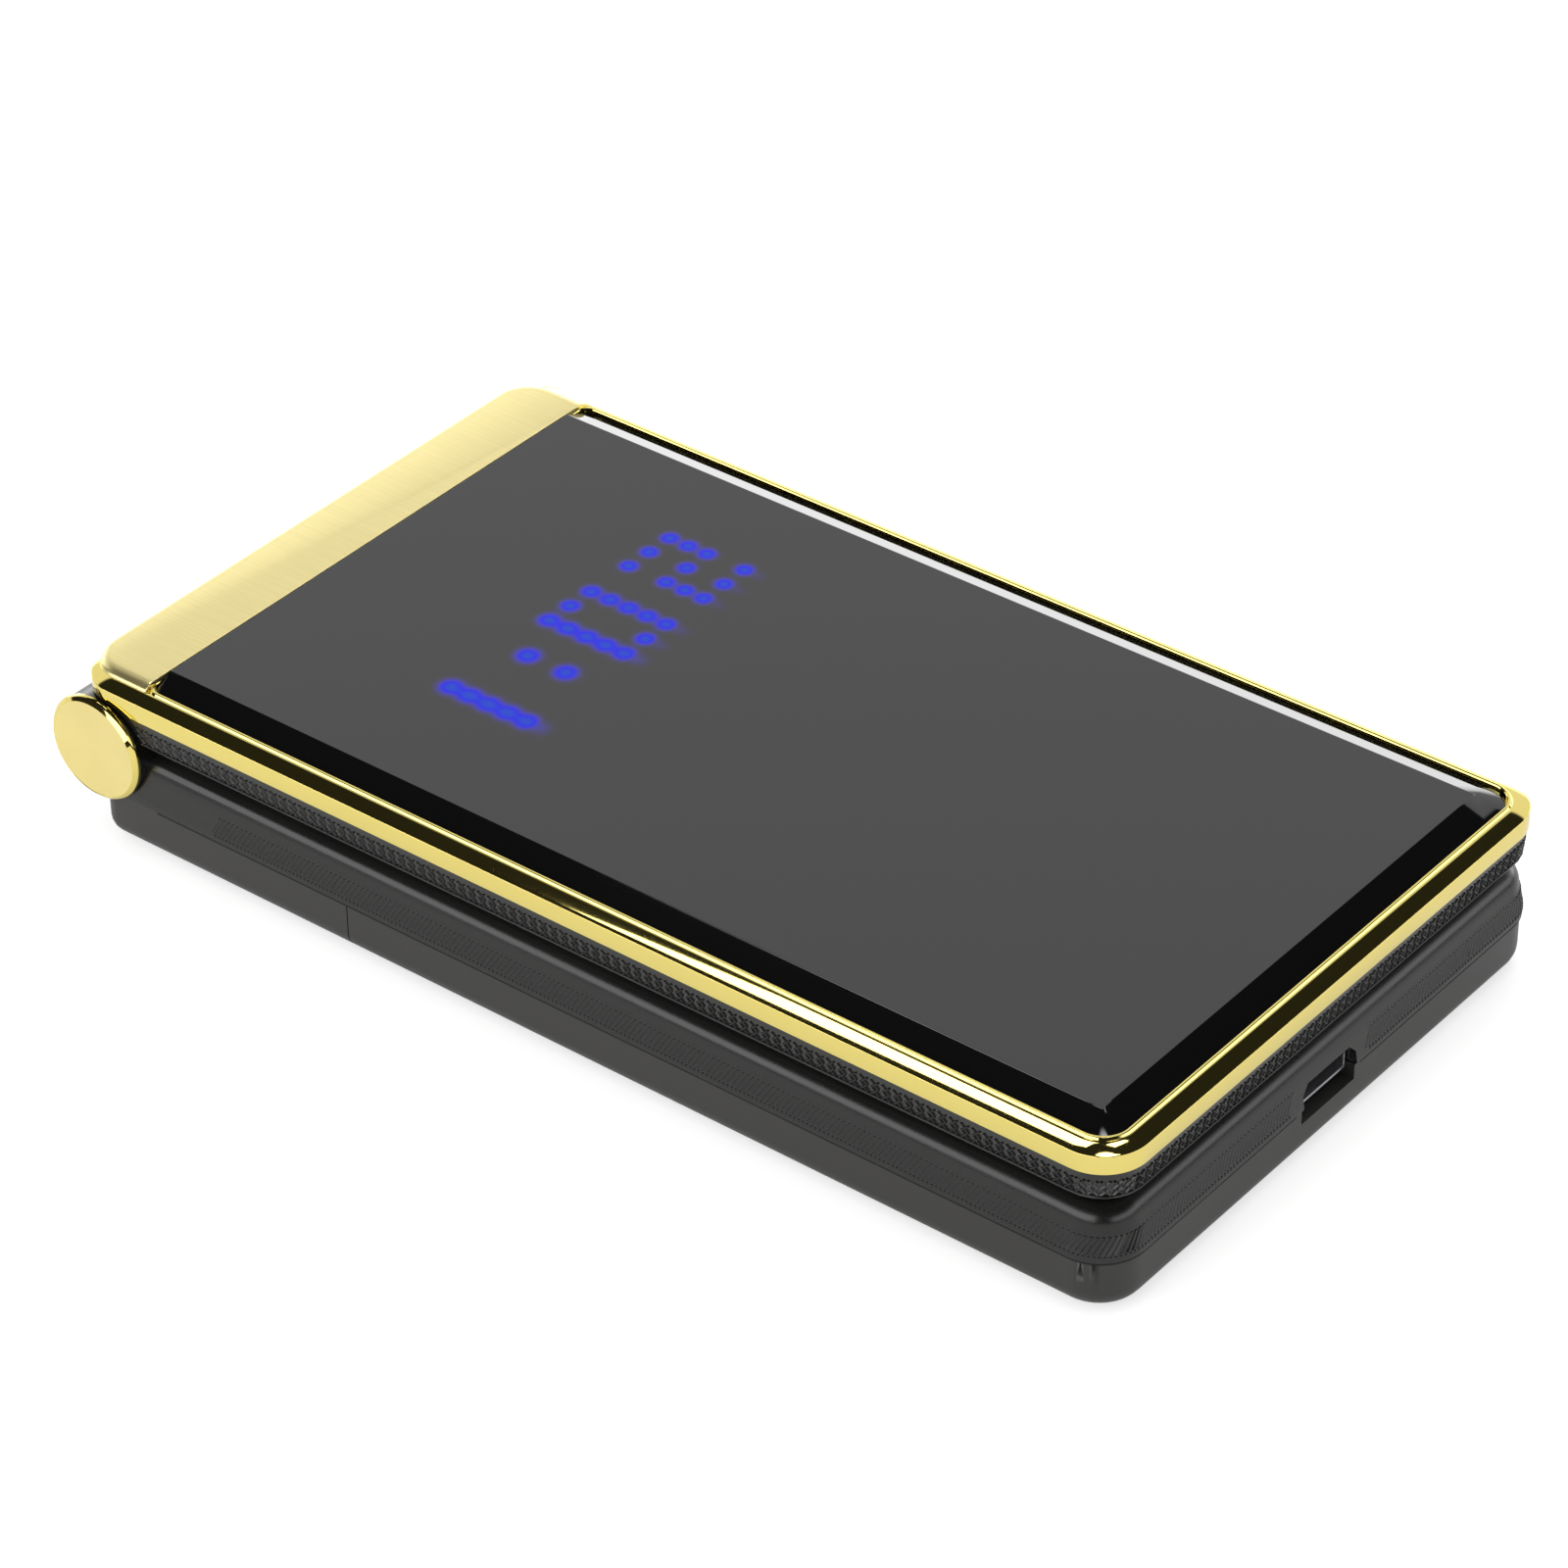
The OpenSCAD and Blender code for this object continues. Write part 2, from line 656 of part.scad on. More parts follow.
// Dark cover glass, flat in the middle and ground to a bevel on three sides
module lid_glass() {
    edge_top = glass_low + glass_edge;
    color(dark)
    hull() {
        translate([0, 0, glass_low])
            linear_extrude(glass_edge)
                outline(2 * glass_x, glass_y0, glass_y1, corner_r - rim_w, 1.1, $fn = loft_fn);
        translate([0, 0, crown_z - slice])
            linear_extrude(slice)
                outline(2 * (glass_x - bevel_w), glass_y0 + bevel_w, glass_y1, 0.8, 0.3, $fn = loft_fn);
        translate([0, 0, edge_top])
            linear_extrude(slice)
                outline(2 * glass_x, glass_y0, glass_y1, corner_r - rim_w, 1.1, $fn = loft_fn);
    }
}

// Circuit board of the lamp clock, taped to the back of the display
module clock_board() {
    color(board)
    difference() {
        translate([clock_x, clock_y, clock_z])
            linear_extrude(clock_t)
                round_rect(clock_w, clock_l, 1);
        for (x = [-1, 1])
            post([clock_x + x * (clock_w / 2 - clock_lug), clock_y + clock_l / 2 - clock_lug], 0.7,
                 clock_z - over, lamp_top);
    }
}

// Lamps of three digits, each a figure eight of three columns and five rows, and the colon's two
module clock_leds() {
    color(blue) {
        for (x = digit_x, c = [-1:1], r = [-2:2])
            if (c != 0 || r % 2 == 0)
                lamp(x + c * lamp_pitch_x, clock_y + r * lamp_pitch_y);
        for (r = [-1, 1])
            lamp(colon_x, clock_y + r * lamp_pitch_y);
    }
}

module lamp(x, y) {
    block([x - lamp_l / 2, y - lamp_w / 2, lamp_top - lamp_h], [x + lamp_l / 2, y + lamp_w / 2, lamp_top]);
}

// Foam tape between the display's back and the clock's board
module board_tape() {
    tape_y1 = min(lcd_y + lcd_l / 2, clock_y + clock_l / 2) - 0.3;
    color(black)
        block([clock_x - clock_w / 2 + clock_lug, clock_y - clock_l / 2 + 0.5, lcd_top],
              [clock_x + clock_w / 2 - clock_lug, tape_y1, clock_z]);
}

// Lid casing: the face over the keypad, the knurled sides and the middle hinge knuckle
module lid_casing() {
    side = [[lid_z, undercut_in], [lid_z + undercut_h - 0.25, 0.9], [lid_z + undercut_h - 0.08, 0.55],
            [lid_z + undercut_h + 0.1, 0.42], [frame_z, 0.2]];
    cavity_z = lid_z + lid_floor;
    color(black)
    difference() {
        union() {
            difference() {
                loft(body_w, mouth_y, lid_end_y, corner_r, corner_r, side);
                block([-half_w, casing_end, lid_z - over], [half_w, lid_end_y + over, frame_z + over]);
                on_axis(clear_r, -half_w - over, half_w + over);
            }
            on_axis(knuckle_r, -knuckle_l / 2, knuckle_l / 2);
            // Web that joins the knuckle to the casing
            block([-knuckle_l / 2, hinge_y - clear_r - 0.8, lid_z],
                  [knuckle_l / 2, hinge_y - 2, frame_z - 0.6]);
        }
        // Room above the floor for the display and the clock
        translate([0, 0, cavity_z])
            linear_extrude(lid_casing_h)
                outline(body_w - 2 * lid_wall - 0.6, mouth_y + lid_wall + 0.3, room_end, 3, 1);
        // Pocket of the clear window, and the view through the floor
        translate([0, lcd_y, lid_z - over])
            linear_extrude(over + window_t + 2 * fit)
                round_rect(window_w + 4 * fit, window_l + 4 * fit, 2.1);
        translate([0, lcd_y, lid_z])
            linear_extrude(lid_casing_h)
                round_rect(view_w, view_l, 0.5);
        // Slot of the earpiece and the recess of its mesh
        translate([0, ear_y, lid_z - over])
            linear_extrude(over + ear_mesh_t + fit)
                round_rect(ear_slot_l + 1.2, ear_slot_w + 1.2, ear_slot_w / 2 + 0.55);
        translate([0, ear_y, lid_z - over])
            linear_extrude(lid_casing_h)
                round_rect(ear_slot_l, ear_slot_w, ear_slot_w / 2 - 0.05);
        for (p = bumper_at)
            post(p, bumper_r + fit, lid_z - over, lid_z + bumper_seat);
        for (p = lid_screw_at) {
            post(p, screw_head_r + screw_gap, lid_z - over, lid_z + lid_floor - 0.45);
            post(p, screw_r + screw_gap, lid_z, cavity_z + over);
        }
        // Bores of the spring can, the cable and the pin
        on_axis(can_r + pin_gap, -knuckle_l / 2 - over, pin_end - 0.3);
        on_axis(pin_r + pin_gap, pin_end - 0.4, knuckle_l / 2 + over);
        block([flex_x - flex_w / 2 - 0.4, room_end - over, flex_z - 0.25],
              [flex_x + flex_w / 2 + 0.4, hinge_y, flex_z + flex_t + 0.25]);
    }
}

// Clear window over the display, set into the lid casing
module display_window() {
    color(dark)
        translate([0, lcd_y, lid_z + fit])
            linear_extrude(window_t)
                round_rect(window_w, window_l, 2);
}

// Colour display: a glass panel in a thin metal frame
module lcd_module() {
    color(grey)
    difference() {
        translate([0, lcd_y, lcd_z])
            linear_extrude(lcd_t)
                round_rect(lcd_w, lcd_l, 0.8);
        translate([0, lcd_y, lcd_z - over])
            linear_extrude(over + 0.2)
                round_rect(view_w + 0.6, view_l + 0.6, 0.5);
    }
}

// Earpiece: a small oblong receiver behind a slot at the lid's tip
module earpiece() {
    color(steel)
    difference() {
        translate([0, ear_y, lcd_z])
            linear_extrude(ear_t)
                round_rect(ear_l, ear_w, 1.4);
        translate([0, ear_y, lcd_z - over])
            linear_extrude(over + 0.3)
                round_rect(ear_slot_l - 1, ear_slot_w, 0.8);
    }
}

// Woven metal mesh over the earpiece's slot
module earpiece_mesh() {
    color(steel)
        translate([0, ear_y, lid_z + 0.03])
            linear_extrude(ear_mesh_t)
                round_rect(ear_slot_l + 1.1, ear_slot_w + 1.1, ear_slot_w / 2 + 0.5);
}

// Four rubber pads in the lid's face that meet the deck when the lid shuts
module lid_bumpers() {
    color(dark)
        for (p = bumper_at)
            post(p, bumper_r, deck_z + bumper_rest, lid_z + bumper_seat - 0.02);
}

// Magnet that tells the base's sensor that the lid is shut
module lid_magnet() {
    color(steel)
        block([magnet_x - magnet_w / 2, ear_y - magnet_w / 2, lcd_z],
              [magnet_x + magnet_w / 2, ear_y + magnet_w / 2, lcd_z + magnet_t]);
}

// Four screws from the lid's face into the gold frame
module lid_screws() {
    head_z = lid_z + lid_floor - 0.5;
    color(steel)
        for (p = lid_screw_at)
            screw(p, head_z, head_z + lid_screw_l);
}

// Pan-head screw with a cross recess, head down at p
module screw(p, head_top, tip) {
    difference() {
        union() {
            post(p, screw_head_r, head_top - screw_head_h, head_top);
            post(p, screw_r, head_top - 0.1, tip);
        }
        for (a = [0, 90])
            translate([p[0], p[1], head_top - screw_head_h])
                rotate(a)
                    cube([recess_l, recess_w, screw_head_h], center = true);
    }
}

// Soft plugs over the lid's screws
module screw_plugs() {
    plug_top = lid_z + lid_floor - 0.5 - screw_head_h - 0.05;
    color(black)
        for (p = lid_screw_at)
            post(p, screw_head_r + 0.05, lid_z + 0.03, plug_top);
}

// Can of the cam hinge: turns with the lid around the cam shaft
module hinge_can() {
    color(steel)
    difference() {
        on_axis(can_r, can_x0, can_x1);
        on_axis(can_r - can_wall, can_x0 + 1, can_x1 - 1);
        on_axis(pin_r + pin_gap, can_x0 - over, can_x0 + 2);
    }
}

// Spring of the cam hinge, shown as its closed sleeve
module hinge_spring() {
    color(steel)
    difference() {
        on_axis(can_r - can_wall - 0.1, follower_x + follower_l + 0.1, can_x1 - 1.05);
        on_axis(rod_r + 0.25, follower_x, can_x1);
    }
}

// Ribbon cable from the display, with its turn inside the middle knuckle
module lid_flex() {
    color([0.75, 0.45, 0.15]) {
        block([flex_x - flex_w / 2, lcd_y + lcd_l / 2 + fit, flex_z],
              [flex_x + flex_w / 2, hinge_y, flex_z + flex_t]);
        translate([flex_x - flex_w / 2, hinge_y, hinge_z])
            rotate([0, 90, 0])
                rotate([0, 0, -90])
                    rotate_extrude(angle = 270)
                        translate([flex_r - flex_t, 0])
                            square([flex_t, flex_w]);
    }
}

// Front casing: keypad deck, textured sides and the two outer hinge knuckles
module front_casing() {
    side = concat([[front_z, 0], [front_z + 0.3, 0.02], [deck_z - deck_round - 0.3, side_lean - 0.03]],
                  edge_down(deck_z, deck_round, side_lean));
    color(black)
    difference() {
        union() {
            difference() {
                loft(body_w, mouth_y, base_end_y, corner_r, base_end_r, side);
                // The keypad's room below the deck
                translate([0, 0, front_z - over])
                    linear_extrude(over + deck_low - front_z)
                        outline(inner_w, mouth_y + side_lean + wall, room_end, corner_r - wall, 2);
            }
            for (x = [-knuckle_out, end_knuckle_x])
                on_axis(knuckle_r, x, x + knuckle_out - end_knuckle_x);
            for (p = base_screw_at)
                post(p, boss_r, chassis_top + fit, deck_low + 0.2);
        }
        // The middle knuckle turns in this hollow
        on_axis(clear_r, -end_knuckle_x, end_knuckle_x);
        // Bores of the shaft and the pin, and the recess of each cap's spigot
        on_axis(pin_r + pin_gap, -half_w, half_w);
        for (x = [-half_w - over, half_w - spigot_l])
            on_axis(spigot_r + fit, x, x + spigot_l + over);
        for (p = base_screw_at)
            post(p, screw_r + screw_gap / 2, front_z, deck_low - 0.2);
        for (k = key_plan)
            translate([k[0], k[1], deck_low - over])
                linear_extrude(deck_t + 2 * over)
                    round_rect(k[2] + 2 * key_gap, k[3] + 2 * key_gap, k[4] + key_gap);
        usb_cut();
        translate([mic_x, mouth_y - over, mic_z])
            rotate([-90, 0, 0])
                cylinder(r = mic_r, h = wall + side_lean + 2 * over);
    }
}

// Outline of the charging socket: an oblong from low to top with its upper corners cut off
module usb_outline(w, low, top) {
    polygon([[-w / 2, low], [w / 2, low], [w / 2, top - usb_cut_off], [w / 2 - usb_cut_off, top],
             [-w / 2 + usb_cut_off, top], [-w / 2, top - usb_cut_off]]);
}

// That outline as a prism from y0 to y1
module usb_prism(w, low, top, y0, y1) {
    translate([usb_x, y1, 0])
        rotate([90, 0, 0])
            linear_extrude(y1 - y0)
                usb_outline(w, low, top);
}

// Cut-out of the charging socket through the mouth end
module usb_cut() {
    usb_prism(usb_w, rear_h - usb_down, front_z + usb_up, mouth_y - over, mouth_y + wall + side_lean + over);
}

// Rear casing: the fixed end with camera and loudspeaker, and the chassis that carries the battery
module rear_casing() {
    back = concat(edge_up(0, back_round, 0), [[rear_h, 0]]);
    color(black)
    difference() {
        union() {
            difference() {
                intersection() {
                    loft(rear_w, rear_start - 2 * corner_r, base_end_y, corner_r, base_end_r, back);
                    block([-half_w, rear_start, -over], [half_w, base_end_y + over, rear_h]);
                }
                // Room of the fixed end, kept clear of the hollow under the knuckles
                difference() {
                    block([-rear_w / 2 + wall, rear_wall_y, rear_floor],
                          [rear_w / 2 - wall, base_end_y - wall, rear_h + over]);
                    on_axis(clear_r + 1.1, -half_w, half_w);
                }
            }
            translate([0, 0, chassis_z])
                linear_extrude(chassis_top - chassis_z)
                    outline(chassis_w, chassis_y, rear_wall_y, 3, 0.5);
            // Rest rib across the back
            translate([-half_w + 2.8, rib_y, 0])
                rotate([90, 0, 90])
                    linear_extrude(body_w - 5.6)
                        polygon([[-rib_w / 2, 0.2], [-rib_w / 2 + 0.4, -rib_h],
                                 [rib_w / 2 - 0.4, -rib_h], [rib_w / 2, 0.2]]);
        }
        // Hollows under the knuckles
        on_axis(clear_r, -end_knuckle_x, end_knuckle_x);
        for (x = [-knuckle_out - over, end_knuckle_x])
            on_axis(knuckle_r + fit, x, x + knuckle_out + over - end_knuckle_x);
        // Battery well, open downwards
        block([-battery_w / 2 - battery_gap, battery_y - battery_gap, -over],
              [battery_w / 2 + battery_gap, well_end, well_roof]);
        // Well of the SIM holder, open right through
        block([-sim_w / 2, sim_y0, -over], [sim_w / 2, sim_y1, chassis_top + over]);
        // Gap of the battery contacts
        block([-contact_w / 2 - 0.2, well_end - 0.2, chassis_z - over],
              [contact_w / 2 + 0.2, sim_y0 + over, chassis_top + over]);
        // Side pockets and mouth-end pockets, open upwards
        for (x = [-pocket_x1, pocket_x0])
            block([x, base_screw_y[0] + 3, pocket_z],
                  [x + pocket_x1 - pocket_x0, base_screw_y[1] - 3, chassis_top + over]);
        for (x = [-end_pocket_x1, end_pocket_x0])
            block([x, pocket_y0, pocket_z],
                  [x + end_pocket_x1 - end_pocket_x0, pocket_y1, chassis_top + over]);
        // Ways through the mouth end for the charging socket and the microphone
        block([usb_x - usb_w / 2 - 0.4, chassis_y - over, board_low - usb_h - 0.3],
              [usb_x + usb_w / 2 + 0.4, pocket_y1, chassis_top + over]);
        block([mic_x - mic_w / 2 - 0.2, chassis_y - over, board_low - mic_t - 0.2],
              [mic_x + mic_w / 2 + 0.2, chassis_y + 2, chassis_top + over]);
        // Slot of the cover's tongue
        block([-tongue_w / 2 - 0.3, rear_start - over, tongue_z - 0.1],
              [tongue_w / 2 + 0.3, rear_start + tongue_l + 0.15, tongue_z + tongue_t + 0.1]);
        // Camera window and the way through to the lens
        post([camera_x, camera_y], camera_r + fit, -over, camera_t + fit);
        post([camera_x, camera_y], camera_lens_r + 0.4, 0, rear_floor + over);
        // Grille of the loudspeaker
        for (i = [-2:2])
            translate([speaker_x, camera_y + i * grille_pitch, -over])
                linear_extrude(rear_floor + 2 * over)
                    round_rect(9, 0.9, 0.44);
        for (p = base_screw_at) {
            post(p, screw_head_r + screw_gap, chassis_z - over, chassis_z + screw_head_h + 0.5);
            post(p, screw_r + screw_gap, chassis_z, chassis_top + over);
        }
    }
}

// Removable lithium-ion battery
module battery() {
    color(grey)
        translate([0, battery_y + battery_l / 2, battery_low])
            linear_extrude(battery_t)
                round_rect(battery_w, battery_l, 1.2);
}

// Main circuit board, the size of the keypad, clipped between the two casings
module main_board() {
    color(board)
    difference() {
        translate([0, 0, board_low])
            linear_extrude(board_t)
                outline(board_w, board_y0, board_y1, 3, 1.4);
        for (p = base_screw_at)
            post(p, boss_r + 0.2, board_low - over, board_top + over);
    }
}

// Pressed steel can over the radio circuits, under the board above the loudspeaker
module shield_can() {
    low = [1, rear_wall_y + 2, board_low - shield_h];
    high = [board_w / 2 - shield_margin, camera_y + 7.5, board_low];
    color(steel)
    difference() {
        block(low, high);
        block(low + [shield_t, shield_t, shield_t], high + [-shield_t, -shield_t, over]);
    }
}

// Sheet of metal domes on the board, one under each key
module dome_sheet() {
    color(steel)
    union() {
        for (k = dome_plan)
            post(k, dome_r, board_top, dome_top);
        translate([0, 0, board_top])
            linear_extrude(dome_t / 2)
                difference() {
                    outline(board_w - 3, board_y0 + 10.5, board_y1 - 0.5, 2, 2);
                    for (p = base_screw_at)
                        translate(p)
                            circle(boss_r + 0.3);
                }
    }
}

// Charging socket under the board's mouth end: a folded steel shell with its tongue
module usb_socket() {
    y0 = mouth_y + 1;
    y1 = y0 + usb_l;
    w = usb_w - 6 * fit;
    low = board_low - usb_h;
    color(steel)
    difference() {
        usb_prism(w, low, board_low, y0, y1);
        usb_prism(w - 2 * usb_shell, low + usb_shell, board_low - usb_shell, y0 - over, y1 - 0.6);
    }
    color(black)
        block([usb_x - 1.9, y0 + 0.6, board_low - 1.1], [usb_x + 1.9, y1 - 0.5, board_low - 0.6]);
}

// Microphone under the board, just behind its hole
module microphone() {
    y0 = board_y0 + 0.2;
    color(steel)
    difference() {
        block([mic_x - mic_w / 2, y0, board_low - mic_t], [mic_x + mic_w / 2, y0 + mic_l, board_low]);
        translate([mic_x, y0 - over, mic_z])
            rotate([-90, 0, 0])
                cylinder(r = 0.4, h = over + 1);
    }
}

// Loudspeaker in the fixed rear end
module loudspeaker() {
    color(grey)
    difference() {
        translate([speaker_x, camera_y, rear_floor + fit])
            linear_extrude(speaker_h)
                round_rect(speaker_l, speaker_w, 2);
        translate([speaker_x, camera_y, rear_floor + fit - over])
            linear_extrude(over + 0.5)
                round_rect(speaker_l - 3, speaker_w - 2.5, 1.5);
    }
}

// Camera: a square body with a round lens barrel
module camera_module() {
    color(dark) {
        block([camera_x - camera_w / 2, camera_y - camera_w / 2, rear_floor + fit],
              [camera_x + camera_w / 2, camera_y + camera_w / 2, board_low - 2 * fit]);
        post([camera_x, camera_y], camera_lens_r, camera_t + 3 * fit, rear_floor + 2 * fit);
    }
}

// Clear disc over the camera
module camera_window() {
    color(dark)
        post([camera_x, camera_y], camera_r, 0, camera_t);
}

// SIM card holder under the board, reached when the battery is out
module sim_holder() {
    z = board_low - sim_h;
    color(steel)
    difference() {
        block([-sim_w / 2 + 0.6, sim_y0 + 0.4, z], [sim_w / 2 - 0.6, sim_y1 - 0.4, board_low]);
        block([-sim_w / 2 + 1.2, sim_y0 - over, z + 0.3], [sim_w / 2 - 1.2, sim_y1 - 1.2, board_low - 0.3]);
        translate([0, sim_y0, z - over])
            linear_extrude(over + 0.5)
                round_rect(sim_open_w, sim_open_l, 2);
    }
}

// Coin vibration motor in the chassis's side pocket
module vibration_motor() {
    color(steel)
        post([(pocket_x0 + pocket_x1) / 2, battery_y + battery_l / 2], motor_r, pocket_z,
             pocket_z + motor_h);
}

// Antenna carrier in the mouth end's left pocket
module antenna() {
    color([0.75, 0.6, 0.35])
        block([-end_pocket_x1 + 0.5, pocket_y0 + 0.2, pocket_z],
              [-end_pocket_x0 - 2, pocket_y1 - 0.2, pocket_z + antenna_h]);
}

// Battery connector: a plastic block with three sprung blades
module battery_contacts() {
    color(dark)
        block([-contact_w / 2, well_end, battery_low + 1], [contact_w / 2, well_end + contact_t, board_low]);
    color(gold)
        for (i = [-1:1])
            translate([i * blade_pitch, 0, 0])
                block([-blade_w / 2, well_end - battery_gap + fit, battery_low + battery_t / 3],
                      [blade_w / 2, well_end + 0.1, battery_low + battery_t * 3 / 4]);
}

// Gold hinge cap: spun face, polished chamfer and a spigot into the knuckle, turned on the axis
module hinge_cap() {
    out = half_w + cap_proud;
    chamfer = cap_proud - 0.25;
    rotate([0, 90, 0])
        rotate_extrude()
            polygon([[0, half_w - spigot_l + 0.1], [spigot_r, half_w - spigot_l + 0.1],
                     [spigot_r, knuckle_out], [cap_r, knuckle_out], [cap_r, out - chamfer + 0.1],
                     [cap_face_r, out], [0, out]]);
}

module hinge_cap_near() {
    color(gold)
        translate([0, hinge_y, hinge_z])
            mirror([1, 0, 0])
                hinge_cap();
}

module hinge_cap_far() {
    color(gold)
        translate([0, hinge_y, hinge_z])
            hinge_cap();
}

// Cam shaft of the near hinge: held by the base's knuckle, with its follower inside the can
module hinge_shaft() {
    color(steel) {
        on_axis(pin_r, -half_w + spigot_l + 0.1, follower_x + 0.1);
        on_axis(can_r - can_wall - 0.1, follower_x, follower_x + follower_l);
        on_axis(rod_r, follower_x + 0.5, can_x1 - 1.4);
    }
}

// Plain pin of the far hinge
module hinge_pin() {
    color(steel)
        on_axis(pin_r, pin_end, half_w - spigot_l - 0.1);
}

// Four screws up through the chassis into the front casing
module base_screws() {
    head_z = chassis_z + screw_head_h + 0.45;
    color(steel)
        for (p = base_screw_at)
            screw(p, head_z, deck_low - 0.3);
}

// Battery cover: a shallow tray that slides off the mouth end
module battery_cover() {
    back = concat(edge_up(0, back_round, 0), [[rear_h, 0]]);
    side_in = rear_w / 2 - wall;
    color(black)
    difference() {
        union() {
            difference() {
                intersection() {
                    loft(rear_w, mouth_y + seam_step, base_end_y, corner_r - seam_step, base_end_r, back);
                    block([-half_w, mouth_y, -over], [half_w, cover_end, rear_h]);
                }
                translate([0, 0, cover_t])
                    linear_extrude(rear_h)
                        outline(2 * side_in, mouth_y + seam_step + wall, cover_end + 2 * over,
                                corner_r - wall, 0.3);
            }
            block([-tongue_w / 2, cover_end - 1, tongue_z],
                  [tongue_w / 2, cover_end + tongue_l, tongue_z + tongue_t]);
        }
        usb_cut();
    }
}

// One key: a cap through the deck with a retaining flange and a stepped, softened top
module key(p, w, l, r) {
    translate([p[0], p[1], 0]) {
        translate([0, 0, key_low])
            linear_extrude(flange_t)
                round_rect(w + 2 * flange_w, l + 2 * flange_w, r + flange_w);
        translate([0, 0, key_low])
            linear_extrude(key_top - key_low - key_step)
                round_rect(w, l, r);
        translate([0, 0, key_low])
            linear_extrude(key_top - key_low)
                round_rect(w - 0.4, l - 0.4, r - 0.2);
    }
}

module number_key(i) {
    color(grey)
        key(num_at(i), key_w, key_l, key_r);
}

module key_1() number_key(0);
module key_2() number_key(1);
module key_3() number_key(2);
module key_4() number_key(3);
module key_5() number_key(4);
module key_6() number_key(5);
module key_7() number_key(6);
module key_8() number_key(7);
module key_9() number_key(8);
module key_star() number_key(9);
module key_0() number_key(10);
module key_hash() number_key(11);

module side_key(i, tint) {
    color(tint)
        key(side_places[i], side_key_w, side_key_l, key_r);
}

module soft_left() side_key(0, grey);
module soft_right() side_key(1, grey);
module call_key() side_key(2, [0.1, 0.5, 0.2]);
module end_key() side_key(3, [0.7, 0.1, 0.1]);

// Navigation ring, rebated below so that it clears the centre key's flange
module nav_ring() {
    color(gold)
    difference() {
        key([0, nav_y], nav_w, nav_l, nav_r);
        post([0, nav_y], ok_r + key_gap, key_low - over, key_top + over);
        post([0, nav_y], ok_r + flange_w + 0.3, key_low - over, key_low + ok_flange_t + key_travel + 0.1);
    }
}

// Centre key inside the ring
module ok_key() {
    color(grey) {
        post([0, nav_y], ok_r + flange_w, key_low, key_low + ok_flange_t);
        post([0, nav_y], ok_r, key_low, key_top - key_step);
        post([0, nav_y], ok_r - 0.2, key_low, key_top);
    }
}

lid_bezel();
lid_glass();
clock_board();
clock_leds();
board_tape();
lid_casing();
display_window();
lcd_module();
earpiece();
earpiece_mesh();
lid_bumpers();
lid_magnet();
lid_screws();
screw_plugs();
hinge_can();
hinge_spring();
lid_flex();
front_casing();
rear_casing();
battery();
main_board();
shield_can();
dome_sheet();
usb_socket();
microphone();
loudspeaker();
camera_module();
camera_window();
sim_holder();
vibration_motor();
antenna();
battery_contacts();
hinge_cap_near();
hinge_cap_far();
hinge_shaft();
hinge_pin();
base_screws();
battery_cover();
key_1();
key_2();
key_3();
key_4();
key_5();
key_6();
key_7();
key_8();
key_9();
key_star();
key_0();
key_hash();
soft_left();
soft_right();
call_key();
end_key();
nav_ring();
ok_key();
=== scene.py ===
import json
import math

import bmesh
import bpy
from mathutils import Matrix, Vector


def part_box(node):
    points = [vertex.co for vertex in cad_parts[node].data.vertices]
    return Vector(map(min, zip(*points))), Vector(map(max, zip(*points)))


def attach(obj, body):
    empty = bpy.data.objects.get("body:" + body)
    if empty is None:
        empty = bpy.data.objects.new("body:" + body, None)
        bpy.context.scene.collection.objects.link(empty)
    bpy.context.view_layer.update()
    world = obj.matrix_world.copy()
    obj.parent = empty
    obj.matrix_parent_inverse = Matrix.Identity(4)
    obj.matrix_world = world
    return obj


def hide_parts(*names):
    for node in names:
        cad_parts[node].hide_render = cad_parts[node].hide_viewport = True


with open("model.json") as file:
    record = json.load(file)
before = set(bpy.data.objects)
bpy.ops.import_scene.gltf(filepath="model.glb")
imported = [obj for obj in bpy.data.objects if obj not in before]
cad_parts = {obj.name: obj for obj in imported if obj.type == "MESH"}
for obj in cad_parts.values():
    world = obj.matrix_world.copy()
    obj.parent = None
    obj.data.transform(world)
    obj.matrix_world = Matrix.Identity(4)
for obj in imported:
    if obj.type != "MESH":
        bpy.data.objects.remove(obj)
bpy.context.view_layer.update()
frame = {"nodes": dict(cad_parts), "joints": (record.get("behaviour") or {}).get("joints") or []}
nodes = frame["nodes"]
mm = 0.001

# ---------------------------------------------------------------- Camera
# The photograph's viewpoint: from the left of the mouth end, looking down at the closed lid.
# The focal length is in pixels of the square photograph, the place in millimetres.
PHOTO_SIZE = 1600
FOCAL_PX = 5828.2
CAMERA_AT = Vector((-302.60, -241.49, 284.81)) * mm
VIEW_RIGHT = Vector((0.62071, -0.78398, -0.00963))
VIEW_UP = Vector((0.45825, 0.35280, 0.81581))

camera = bpy.data.objects.new("camera", bpy.data.cameras.new("camera"))
bpy.context.scene.collection.objects.link(camera)
axes = Matrix((VIEW_RIGHT, VIEW_UP, VIEW_RIGHT.cross(VIEW_UP))).transposed()
camera.matrix_world = Matrix.Translation(CAMERA_AT) @ axes.to_4x4()
camera.data.sensor_width = 36.0
camera.data.lens = FOCAL_PX * camera.data.sensor_width / PHOTO_SIZE
camera.data.clip_start = 0.01
bpy.context.scene.camera = camera
bpy.context.scene.view_settings.view_transform = "Standard"

# ---------------------------------------------------------------- Studio
# A pale floor, and soft light from large white panels round the object. Polished gold and
# black glass show the panels and the dark gaps between them, as in a product photographer's tent.
FLOOR_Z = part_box("rear_casing")[0].z
FLOOR_HALF = 6
PAPER = 0.80
